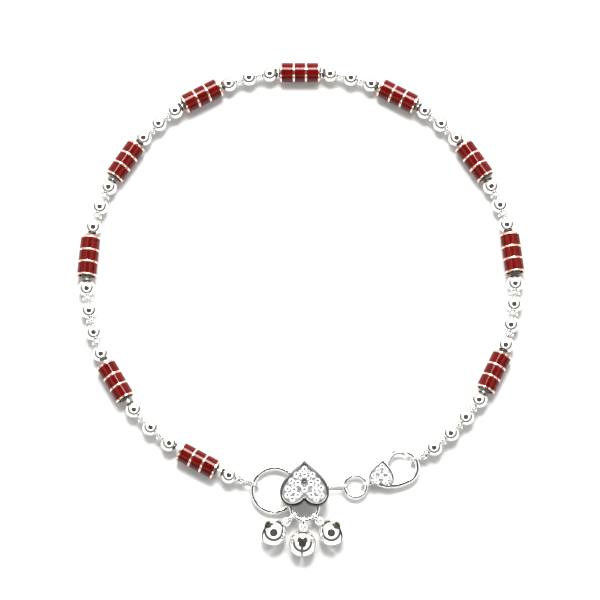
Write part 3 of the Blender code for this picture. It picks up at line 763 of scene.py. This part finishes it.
def hook_origin():
    """The middle of the clasp's hook, from the small ring."""
    small = middle_of("small_ring")
    grip = polar(small, ring_mean("small_ring", SMALL_WIRE), SMALL_GRIP)
    eye_mean = (TAIL_EYE - LINK_WIRE) / 2
    return Vector((grip.x + eye_mean - SPINE[0][0] * HOOK_X, grip.y - SPINE[0][1] * HOOK_Y))


def clasp_point(shares):
    """A point of the clasp, given as shares of the hook's half sizes."""
    origin = hook_origin()
    return Vector((origin.x + shares[0] * HOOK_X, origin.y + shares[1] * HOOK_Y, CLASP_LEVEL))


def end_place(held, thickness, length, direction):
    """The cup's face and the direction from it to what the loop holds."""
    strand_level = middle_of("bead_01").z
    reach = CUP_LENGTH - BURY + length - LINK_WIRE - LINK_GAP - thickness / 2
    drop = strand_level - held.z
    flat = polar(held, math.sqrt(reach ** 2 - drop ** 2), direction)
    face = Vector((flat.x, flat.y, strand_level))
    return face, held - face


def ends():
    """For each end: node, what is held, its thickness, loop length and direction."""
    large = middle_of("large_ring")
    held = polar(large, ring_mean("large_ring", LARGE_WIRE), LARGE_GRIP)
    start = ("end_loop_start", Vector((held.x, held.y, large.z)), LARGE_WIRE, START_LENGTH,
             START_DIRECTION)
    hook = clasp_point((math.cos(HOOK_GRIP), math.sin(HOOK_GRIP)))
    return start, ("end_loop_finish", hook, CLASP_BAR, FINISH_LENGTH, FINISH_DIRECTION)


def cup_faces():
    """The middles of the two cups' open faces."""
    return [end_place(held, thickness, length, direction)[0]
            for _, held, thickness, length, direction in ends()]


def end_fitting(node, held, thickness, length, direction):
    """A cup with a groove round it and an oval loop soldered to it."""
    face, ahead = end_place(held, thickness, length, direction)
    matrix = facing(face, ahead)
    shape = Shape()
    upper, middle, lower = [CUP_LENGTH * share for share in CUP_GROOVE]
    floor_level = CUP_LENGTH - CUP_FLOOR
    profile = [(0.0, CUP_LENGTH), (CUP_RADIUS - CUP_BEVEL, CUP_LENGTH),
               (CUP_RADIUS, CUP_LENGTH - CUP_BEVEL), (CUP_RADIUS, upper),
               (CUP_RADIUS - CUP_GROOVE_DEPTH, middle), (CUP_RADIUS, lower),
               (CUP_RADIUS, CUP_BEVEL), (CUP_RADIUS - CUP_BEVEL, 0.0), (BEAD_BORE, 0.0),
               (BEAD_BORE, floor_level), (0.0, floor_level)]
    shape.lathe(profile, CUP_SIDES, matrix=matrix, closed=False)
    height = thickness + 2 * (LINK_WIRE + LOOP_PLAY)
    middle = CUP_LENGTH - BURY + length / 2
    loop = (matrix @ Matrix.Translation((0.0, 0.0, middle)) @ Matrix.Rotation(LOOP_LEAN, 4, "Z")
            @ Matrix.Rotation(math.radians(90), 4, "Y"))
    shape.tube(stadium(length, height, LINK_WIRE), LINK_WIRE / 2, sides=LINK_SIDES, cyclic=True,
               power=WIRE_POWER, matrix=loop)
    shape.build("fine_" + node, [SILVER], "silver", [node])


def connector():
    """The oval link on edge between the heart's staple and the small ring."""
    low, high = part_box("connector_link")
    length, height = (high.x - low.x) / MM, (high.z - low.z) / MM
    shape = Shape()
    place = Matrix.Translation(middle_of("connector_link"))
    shape.tube(stadium(length, height, LINK_WIRE), LINK_WIRE / 2, sides=LINK_SIDES, cyclic=True,
               power=WIRE_POWER, matrix=place)
    shape.build("fine_connector_link", [SILVER], "silver", ["connector_link"])


# Hearts


def heart_outline(width, height, steps=12):
    """Points of a heart with its tip towards +Y, anticlockwise."""
    right = list(HEART_OUTLINE)
    left = [(-x, y, -x_after, y_after, -x_before, y_before)
            for x, y, x_before, y_before, x_after, y_after in reversed(right[1:-1])]
    knots = right + left
    points = []
    for index, knot in enumerate(knots):
        after = knots[(index + 1) % len(knots)]
        a, b, c, d = (Vector(pair) for pair in
                      ((knot[0], knot[1]), (knot[4], knot[5]), (after[2], after[3]),
                       (after[0], after[1])))
        for step in range(steps):
            t = step / steps
            point = (a * (1 - t) ** 3 + b * 3 * t * (1 - t) ** 2 + c * 3 * t * t * (1 - t)
                     + d * t ** 3)
            points.append((point.x * width / 2, (point.y - 0.5) * height))
    return points[::-1]


def inset(points, distance):
    """An anticlockwise outline with each point moved inwards by a distance."""
    count = len(points)
    moved = []
    for index, (x, y) in enumerate(points):
        x0, y0 = points[index - 1]
        x1, y1 = points[(index + 1) % count]
        along = Vector((x1 - x0, y1 - y0)).normalized()
        moved.append((x - along.y * distance, y + along.x * distance))
    return moved


def loft(shape, rings, picks, matrix=None, cap_top=None, cap_low=None):
    """Joins closed outlines of equal count, from the first to the last."""
    count = len(rings[0])
    verts = [point for outline in rings for point in outline]
    faces = []
    chosen = []
    for row in range(len(rings) - 1):
        for index in range(count):
            after = (index + 1) % count
            here, there = row * count, (row + 1) * count
            faces.append((here + index, here + after, there + after, there + index))
            chosen.append(picks[row])
    if cap_low is not None:
        faces.append(tuple(reversed(range(count))))
        chosen.append(cap_low)
    if cap_top is not None:
        first = (len(rings) - 1) * count
        faces.append(tuple(first + index for index in range(count)))
        chosen.append(cap_top)
    shape.take(verts, faces, matrix=matrix, picks=chosen)


def cut_stone(shape, centre, radius, level, turn, culet, matrix, pick):
    """A round cut stone: girdle, crown facets and table, with a near-black disc just under the table,
    a painted reflection standing for the dark culet seen through it.
    """
    sides = CUT_SIDES
    rise = radius * CUT_RISE

    def around(share, level_at, count, offset=0.0):
        points = []
        for step in range(count):
            angle = turn + math.tau * (step + offset) / count
            points.append((centre[0] + radius * share * math.cos(angle),
                           centre[1] + radius * share * math.sin(angle), level_at))
        return points

    outer = around(1.0, level, 2 * sides)
    upper = around(CUT_CROWN, level + rise * CUT_CROWN_HEIGHT, sides, 0.5)
    top = around(CUT_TABLE, level + rise, sides)
    low = around(1.0, level - GIRDLE, 2 * sides)
    dot = around(culet, level + rise - CULET_SINK, sides)
    verts = outer + upper + top + low + dot
    first_upper = 2 * sides
    first_top = first_upper + sides
    first_low = first_top + sides
    first_dot = first_low + 2 * sides
    faces = []
    for step in range(sides):
        a, b, c = 2 * step, 2 * step + 1, (2 * step + 2) % (2 * sides)
        u = first_upper + step
        t, t_after = first_top + step, first_top + (step + 1) % sides
        d, d_after = first_dot + step, first_dot + (step + 1) % sides
        faces += [(a, b, u), (b, c, u), (a, u, t), (u, c, t_after), (u, t_after, t),
                  (t, t_after, d_after, d)]
    for step in range(2 * sides):
        after = (step + 1) % (2 * sides)
        faces.append((first_low + step, first_low + after, after, step))
    picks = [pick] * len(faces) + [DARK_REFLECTION_FACE]
    faces.append(tuple(first_dot + step for step in range(sides)))
    shape.take(verts, faces, matrix=matrix, picks=picks)


def pave_heart(shape, stones, matrix, width, height, thickness, rim, rows, diameter, wall):
    """A heart plate with a bevelled rim, a sunk bed and cut stones."""
    outline = heart_outline(width, height)
    edge = HEART_EDGE
    lip = HEART_LIP if wall == WALL_FACE else CLASP_HEART_LIP
    across, down = EDGE_ROUND
    top = thickness
    bed = thickness - HEART_RECESS

    def at(points, level):
        return [(x, y, level) for x, y in points]

    rings = [at(inset(outline, edge), 0.0), at(outline, edge), at(outline, top - edge),
             at(inset(outline, edge * across), top - edge * down), at(inset(outline, edge), top),
             at(inset(outline, lip), top), at(inset(outline, rim - RIM_STEP), top - RIM_DROP),
             at(inset(outline, rim), bed)]
    # The side takes the wall pick and the sunk bed takes the bed pick: on the heart charm both are
    # painted shade, on the clasp only the bed.
    loft(shape, rings, [wall] * 5 + [METAL_FACE, BED_FACE], matrix, cap_top=BED_FACE,
         cap_low=METAL_FACE)
    set_stones(stones, matrix, width, height, rows, diameter, bed)


def set_stones(stones, matrix, width, height, rows, diameter, bed):
    """Cut stones in rows on the bed of a heart."""
    for row, across in rows:
        for share in across:
            centre = (share * width / 2, (row - 0.5) * height)
            turn = RANDOM.uniform(0, math.pi)
            culet = RANDOM.choice(CULETS)
            pick = STONE_FACE
            radius = diameter / 2
            if (row, share) == STONE_PAINTED_DARK:
                pick = DARK_REFLECTION_FACE
                radius *= STONE_PAINTED_DARK_SHARE
            cut_stone(stones, centre, radius, bed + STONE_STAND, turn, culet, matrix, pick)


def prongs(shape, matrix, rows, width, height, diameter, bed, top):
    """Small round grains of metal between neighbouring stones."""
    spots = [(share * width / 2, (row - 0.5) * height) for row, across in rows for share in across]
    grain = PRONG_RADIUS
    profile = [(0.0, top + PRONG_PROUD), (grain * PRONG_CROWN, top - PRONG_PROUD),
               (grain, top - grain), (grain, bed - PRONG_BURY)]
    for index, first in enumerate(spots):
        for second in spots[index + 1:]:
            if math.dist(first, second) < diameter * PRONG_REACH:
                middle = ((first[0] + second[0]) / 2, (first[1] + second[1]) / 2)
                shape.lathe(profile, PRONG_SIDES,
                            matrix=matrix @ Matrix.Translation((*middle, 0.0)), closed=False)


def staple(shape, centre, direction, low, high, wrapped):
    """A wire staple that passes round something of the wrapped width."""
    half = wrapped / 2 + LINK_GAP + STAPLE_WIRE / 2
    along = Vector((math.cos(direction), math.sin(direction), 0.0))
    middle = Vector((centre[0], centre[1], 0.0))
    points = [middle - along * half + UP * high]
    for step in range(STAPLE_STEPS + 1):
        angle = math.pi * step / STAPLE_STEPS
        points.append(middle - along * half * math.cos(angle)
                      + UP * (low + half - half * math.sin(angle)))
    points.append(middle + along * half + UP * high)
    shape.tube(points, STAPLE_WIRE / 2, sides=STAPLE_SIDES)


def heart_charm():
    """The pave heart with its staples."""
    heart = middle_of("heart_charm")
    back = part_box("heart_charm")[1].z / MM - HEART_THICKNESS
    centre = Vector((heart.x, heart.y, back))
    matrix = Matrix.Translation(centre)
    shape = Shape()
    pave_heart(shape, shape, matrix, HEART_WIDTH, HEART_HEIGHT, HEART_THICKNESS - PLATE_SINK,
               HEART_RIM, HEART_STONES, STONE_DIAMETER, WALL_FACE)
    bed = HEART_THICKNESS - HEART_RECESS
    set_stones(shape, matrix, HEART_WIDTH, HEART_HEIGHT, FILLER_STONES, FILLER_DIAMETER, bed)
    prongs(shape, matrix, HEART_STONES, HEART_WIDTH, HEART_HEIGHT, STONE_DIAMETER, bed,
           HEART_THICKNESS - RIM_DROP)
    foot = back + BURY
    for node, wire, direction in (("large_ring", LARGE_WIRE, LARGE_STAPLE),
                                  ("bell_ring", BELL_RING_WIRE, BELL_STAPLE)):
        ring = middle_of(node)
        staple(shape, polar(ring, ring_mean(node, wire), direction), direction,
               ring.z - wire / 2 - LINK_GAP - STAPLE_WIRE / 2, foot, wire)
    staple(shape, (centre.x + CONNECTOR_STAPLE, centre.y), CONNECTOR_STAPLE_TURN,
           middle_of("connector_link").z, foot, LINK_WIRE)
    shape.build("fine_heart_charm", [SILVER, STONE, RECESS_SHADE, CULET_REFLECTION, SIDE_SHADE], "pave", ["heart_charm"],
                sharp=STONE_SHARP)


# The bells


def boolean_cut(target, cutters):
    """Cuts the target with closed shapes and drops them."""
    for cutter in cutters:
        change = target.modifiers.new("cut", "BOOLEAN")
        change.operation = "DIFFERENCE"
        change.solver = "EXACT"
        change.use_self = True
        change.object = cutter
    bpy.context.view_layer.update()
    evaluated = target.evaluated_get(bpy.context.evaluated_depsgraph_get())
    mesh = bpy.data.meshes.new_from_object(evaluated)
    target.modifiers.clear()
    target.data = mesh
    for cutter in cutters:
        bpy.data.objects.remove(cutter, do_unlink=True)


def loose_object(shape, name):
    """An object to cut with, made from a shape."""
    mesh = bpy.data.meshes.new(name)
    mesh.from_pydata([Vector(v) * MM for v in shape.verts], [], shape.faces)
    made = bpy.data.objects.new(name, mesh)
    bpy.context.scene.collection.objects.link(made)
    return made


def bell(name, centre, ahead, roll):
    """A hollow bell with an eye on top and a slit below that ends in a heart on each side."""
    matrix = facing(centre, ahead) @ Matrix.Rotation(roll, 4, "Z")
    outer = []
    for row in range(BELL_ROWS + 1):
        angle = BELL_POLE + (math.pi - 2 * BELL_POLE) * row / BELL_ROWS
        outer.append((BELL_RADIUS * math.sin(angle), BELL_RADIUS * math.cos(angle)))
    inner_radius = BELL_RADIUS - BELL_WALL
    inner = [(r * inner_radius / BELL_RADIUS, z * inner_radius / BELL_RADIUS)
             for r, z in reversed(outer)]
    shell = Shape()
    shell.lathe([(0.0, BELL_RADIUS)] + outer[1:-1] + [(0.0, -BELL_RADIUS)], BELL_SIDES,
                matrix=matrix, closed=False)
    shell.lathe([(0.0, -inner_radius)] + inner[1:-1] + [(0.0, inner_radius)], BELL_SIDES,
                pick=INSIDE_FACE, matrix=matrix, closed=False)
    target = shell.build("fine_" + name, [SILVER, BELL_INSIDE_SHADE], "silver", [name])
    slit = Shape()
    half_length = SLIT_HALF_LENGTH * BELL_RADIUS
    corners = [(x, y, z) for x in (-half_length, half_length)
               for y in (-BELL_SLIT / 2, BELL_SLIT / 2)
               for z in (-SLIT_LOW * BELL_RADIUS, -SLIT_TOP * BELL_RADIUS)]
    slit.take(corners, [(0, 1, 3, 2), (4, 6, 7, 5), (0, 4, 5, 1), (2, 3, 7, 6), (0, 2, 6, 4),
                        (1, 5, 7, 3)], matrix=matrix)
    hole = Shape()
    outline = heart_outline(BELL_HOLE_WIDTH, BELL_HOLE_HEIGHT, 8)
    across = (matrix @ Matrix.Rotation(math.radians(-90), 4, "Y")
              @ Matrix.Rotation(math.radians(90), 4, "Z"))
    half_length = HOLE_REACH * BELL_RADIUS
    rings = [[(x, y + BELL_HOLE_SHIFT, z) for x, y in outline] for z in (-half_length, half_length)]
    loft(hole, rings, [0], across, cap_top=0, cap_low=0)
    boolean_cut(target, [loose_object(slit, "slit"), loose_object(hole, "hole")])
    shade(target.data, BELL_SHARP)
    eye = Shape()
    reach = BELL_RADIUS - BELL_EYE_SINK + (BELL_EYE - BELL_EYE_WIRE) / 2
    stand = (facing(centre, ahead) @ Matrix.Translation((0.0, 0.0, reach))
             @ Matrix.Rotation(math.radians(90), 4, "Y"))
    eye.tube(circle((BELL_EYE - BELL_EYE_WIRE) / 2), BELL_EYE_WIRE / 2, cyclic=True,
             matrix=stand)
    eye.build("fine_" + name + "_eye", [SILVER], "silver")


def bells():
    """The three bells and the links that hang them from their ring."""
    ring = middle_of("bell_ring")
    mean = ring_mean("bell_ring", BELL_RING_WIRE)
    eye_reach = BELL_RADIUS - BELL_EYE_SINK + BELL_EYE - BELL_EYE_WIRE
    height = BELL_RING_WIRE + 2 * (LINK_GAP + BELL_LINK_WIRE)
    for side, direction, distance, roll in BELLS:
        upper = Vector((*polar(ring, mean, direction), ring.z))
        centre = Vector((*polar(ring, mean + distance, direction), BELL_RADIUS))
        along = (upper - centre).normalized()
        bell("bell_" + side, centre, along, roll)
        far = upper + along * (BELL_RING_WIRE / 2 + LINK_GAP + BELL_LINK_WIRE)
        near = centre + along * (eye_reach - BELL_EYE_WIRE / 2 - LINK_GAP - BELL_LINK_WIRE)
        across = UP.cross(along).normalized()
        turn = Matrix((along, across, along.cross(across))).transposed().to_4x4()
        link = Shape()
        link.tube(stadium((far - near).length, height, BELL_LINK_WIRE), BELL_LINK_WIRE / 2,
                  sides=LINK_SIDES, cyclic=True, power=WIRE_POWER,
                  matrix=Matrix.Translation((far + near) / 2) @ turn)
        link.build("fine_bell_link_" + side, [SILVER], "silver", ["bell_link_" + side])


# The clasp


def drum(shape, centre, radius, half, sides):
    """A closed round bar that stands upright."""
    shape.lathe([(0.0, half), (radius, half), (radius, -half), (0.0, -half)], sides,
                matrix=Matrix.Translation(centre), closed=False)


def hook_wire(shape):
    """The clasp's spine and hook, thin where it starts and rounded off at its end."""
    knots = [clasp_point(shares) for shares in SPINE]
    for step in range(HOOK_POINTS):
        angle = HOOK_START + (HOOK_END - HOOK_START) * step / (HOOK_POINTS - 1)
        knots.append(clasp_point((math.cos(angle), math.sin(angle))))
    route = smooth_route(knots, 8)
    last = len(route) - 1
    thin = LINK_WIRE / CLASP_BAR
    radii = []
    for index in range(len(route)):
        share = index / last
        swell = thin + (1 - thin) * min(1.0, share * HOOK_SWELL)
        taper = 1.0 - HOOK_TAPER * max(0.0, (share - HOOK_TAPER_FROM) / HOOK_TAPER_LENGTH)
        radii.append(CLASP_BAR / 2 * swell * taper)
    route.append(route[-1] + (route[-1] - route[-2]).normalized() * HOOK_ROUND)
    radii.append(radii[-1] * HOOK_TIP)
    shape.tube(route, radii, sides=CLASP_SIDES, power=WIRE_POWER)


def clasp():
    """The clasp's body: heart, hook, tail eye and the slot for the lever, with its pin."""
    origin = hook_origin()
    pivot = clasp_point(LEVER_PIVOT)
    shape = Shape()
    stones = Shape()
    base = CLASP_LEVEL - LEVER_SLOT / 2 - LEVER_ROOT
    matrix = (Matrix.Translation((origin.x - CLASP_HEART_LEFT, origin.y - CLASP_HEART_DROP, base))
              @ Matrix.Rotation(CLASP_HEART_TURN, 4, "Z"))
    pave_heart(shape, stones, matrix, CLASP_HEART_WIDTH, CLASP_HEART_HEIGHT, CLASP_HEART_THICKNESS,
               CLASP_HEART_RIM, CLASP_STONES, CLASP_STONE, METAL_FACE)
    prongs(stones, matrix, CLASP_STONES, CLASP_HEART_WIDTH, CLASP_HEART_HEIGHT, CLASP_STONE,
           CLASP_HEART_THICKNESS - HEART_RECESS, CLASP_HEART_THICKNESS - RIM_DROP)
    hook_wire(shape)
    grip = polar(middle_of("small_ring"), ring_mean("small_ring", SMALL_WIRE), SMALL_GRIP)
    eye = (Matrix.Translation((grip.x, grip.y, TAIL_EYE / 2))
           @ Matrix.Rotation(math.radians(90), 4, "X"))
    shape.tube(circle((TAIL_EYE - LINK_WIRE) / 2), LINK_WIRE / 2, cyclic=True, matrix=eye)
    target = shape.build("fine_clasp_body", [SILVER, STONE, STONE_BED_SHADE, CULET_REFLECTION], "pave", ["clasp_body"])
    slot = Shape()
    drum(slot, pivot, LEVER_SLOT_DIAMETER / 2, LEVER_SLOT / 2, LEVER_SLOT_SIDES)
    boolean_cut(target, [loose_object(slot, "slot")])
    shade(target.data, STONE_SHARP)
    drum(stones, pivot, LEVER_PIN / 2, LEVER_SLOT / 2 + BURY, LEVER_PIN_SIDES)
    stones.build("fine_clasp_stones", [SILVER, STONE, STONE_BED_SHADE, CULET_REFLECTION], "pave", sharp=STONE_SHARP)


def clasp_lever():
    """The sprung lever: an eye on the pin, a curved bar that thins to its nose, and a thumb nub."""
    pivot = clasp_point(LEVER_PIVOT)
    shape = Shape()
    half = LEVER_EYE_THICKNESS / 2
    outer = LEVER_EYE / 2
    bore = LEVER_BORE / 2
    bevel = LEVER_EYE_BEVEL
    shape.lathe([(bore, half), (outer - bevel, half), (outer, half - bevel), (outer, bevel - half),
                 (outer - bevel, -half), (bore, -half)],
                LEVER_EYE_SIDES, matrix=Matrix.Translation(pivot))
    knots = [clasp_point(shares) for shares in LEVER_ROUTE]
    begin = knots[0] + (pivot - knots[0]) * LEVER_START
    route = smooth_route([begin] + knots, LEVER_STEPS)
    last = len(route) - 1
    radii = []
    for index in range(len(route)):
        swell = min(1.0, index / LEVER_SWELL)
        ease = max(0.0, (index - last + LEVER_STEPS) / LEVER_STEPS)
        radii.append((LEVER_ROOT + (LEVER_BAR - LEVER_ROOT) * swell
                      - (LEVER_BAR - LEVER_NOSE) * ease) / 2)
    route.append(route[-1] + (route[-1] - route[-2]).normalized() * LEVER_NOSE_ROUND)
    radii.append(radii[-1] * LEVER_NOSE_TIP)
    shape.tube(route, radii, sides=LEVER_SIDES)
    root = knots[LEVER_NUB_POINT]
    out = (root - clasp_point((0.0, 0.0))).normalized()
    shape.tube([root, root + out * LEVER_NUB_REACH, root + out * (LEVER_NUB_REACH + NUB_ROUND)],
               [LEVER_NUB / 2 * NUB_ROOT, LEVER_NUB / 2, LEVER_NUB / 2 * NUB_TOP])
    shape.build("fine_clasp_lever", [LEVER_SHADE], "silver", ["clasp_lever"], body="lever")


# The studio


def light_tent():
    """A white tent with a dark opening overhead, lamps round it and a dark horizon."""
    world = bpy.data.worlds.new("light_tent")
    bpy.context.scene.world = world
    world.use_nodes = True
    nodes, links = world.node_tree.nodes, world.node_tree.links
    place = nodes.new("ShaderNodeTexCoord")

    def part_of(source, first, last):
        """0 where the source is at first, 1 at last."""
        ranged = nodes.new("ShaderNodeMapRange")
        ranged.inputs["From Min"].default_value = first
        ranged.inputs["From Max"].default_value = last
        links.new(source, ranged.inputs["Value"])
        return ranged.outputs["Result"]

    def over(below, share, colour):
        """Lays a colour over what is below it, by a share."""
        mix = nodes.new("ShaderNodeMix")
        mix.data_type = "RGBA"
        links.new(share, mix.inputs["Factor"])
        if isinstance(below, tuple):
            mix.inputs["A"].default_value = (*below, 1.0)
        else:
            links.new(below, mix.inputs["A"])
        mix.inputs["B"].default_value = (*colour, 1.0)
        return mix.outputs["Result"]

    towards = nodes.new("ShaderNodeVectorMath")
    towards.operation = "DOT_PRODUCT"
    towards.inputs[1].default_value = (0.0, -math.cos(OPENING_RISE), math.sin(OPENING_RISE))
    links.new(place.outputs["Generated"], towards.inputs[0])
    split = nodes.new("ShaderNodeSeparateXYZ")
    links.new(place.outputs["Generated"], split.inputs["Vector"])
    near = part_of(split.outputs["Y"], HORIZON_FAR_Y, HORIZON_NEAR_Y)
    top = nodes.new("ShaderNodeMapRange")
    top.inputs["To Max"].default_value = math.sin(NEAR_TOP)
    links.new(near, top.inputs["Value"])
    above = nodes.new("ShaderNodeMath")
    above.operation = "SUBTRACT"
    links.new(top.outputs["Result"], above.inputs[0])
    links.new(split.outputs["Z"], above.inputs[1])
    white = (TENT_LIGHT,) * 3
    colour = over(white, part_of(above.outputs["Value"], 0.0, math.sin(HORIZON_EDGE)),
                  HORIZON_SHADE)
    band = OPENING_HALF + LAMP_BAND
    colour = over(colour, part_of(towards.outputs["Value"], math.cos(band + OPENING_EDGE / 2),
                                  math.cos(band)), (LAMP_LIGHT,) * 3)
    colour = over(colour, part_of(towards.outputs["Value"], math.cos(OPENING_HALF),
                                  math.cos(OPENING_HALF - OPENING_EDGE)), OPENING_SHADE)
    links.new(colour, nodes["Background"].inputs["Color"])


def pale_floor():
    """A plain pale floor just below the part."""
    mesh = bpy.data.meshes.new("floor")
    size = FLOOR_HALF
    mesh.from_pydata([(-size, -size, 0), (size, -size, 0), (size, size, 0), (-size, size, 0)],
                     [], [(0, 1, 2, 3)])
    floor = bpy.data.objects.new("floor", mesh)
    floor.location.z = -FLOOR_DROP * MM
    bpy.context.scene.collection.objects.link(floor)
    pale, _, _, shader = node_material("pale_floor")
    shader.inputs["Base Color"].default_value = FLOOR_COLOUR
    shader.inputs["Roughness"].default_value = FLOOR_ROUGHNESS
    mesh.materials.append(pale)


def far_window():
    """A soft lamp on the far side, turned towards the part."""
    data = bpy.data.lights.new("far_window", "AREA")
    data.shape = "RECTANGLE"
    data.size, data.size_y = WINDOW_SIZE
    data.energy = WINDOW_POWER
    lamp = bpy.data.objects.new("far_window", data)
    lamp.location = WINDOW_PLACE
    lamp.rotation_euler = (-Vector(WINDOW_PLACE)).to_track_quat("-Z", "Y").to_euler()
    bpy.context.scene.collection.objects.link(lamp)


def photo_camera():
    """The camera at the photo's angle and distance."""
    data = bpy.data.cameras.new("camera")
    data.sensor_width = SENSOR
    data.lens = SENSOR * DISTANCE / FRAME_WIDTH
    data.clip_start, data.clip_end = CLIP_METRES
    camera = bpy.data.objects.new("camera", data)
    ahead = Vector((0.0, math.cos(ELEVATION), -math.sin(ELEVATION)))
    camera.location = (Vector((*LOOK_AT, 0.0)) - ahead * DISTANCE) * MM
    camera.rotation_euler = ahead.to_track_quat("-Z", "Y").to_euler()
    bpy.context.scene.collection.objects.link(camera)
    bpy.context.scene.camera = camera
    bpy.context.scene.view_settings.view_transform = "Standard"


strand()
for node, thickness, seam in RINGS:
    jump_ring(node, thickness, seam)
for end in ends():
    end_fitting(*end)
connector()
heart_charm()
bells()
clasp()
clasp_lever()
pale_floor()
far_window()
light_tent()
photo_camera()
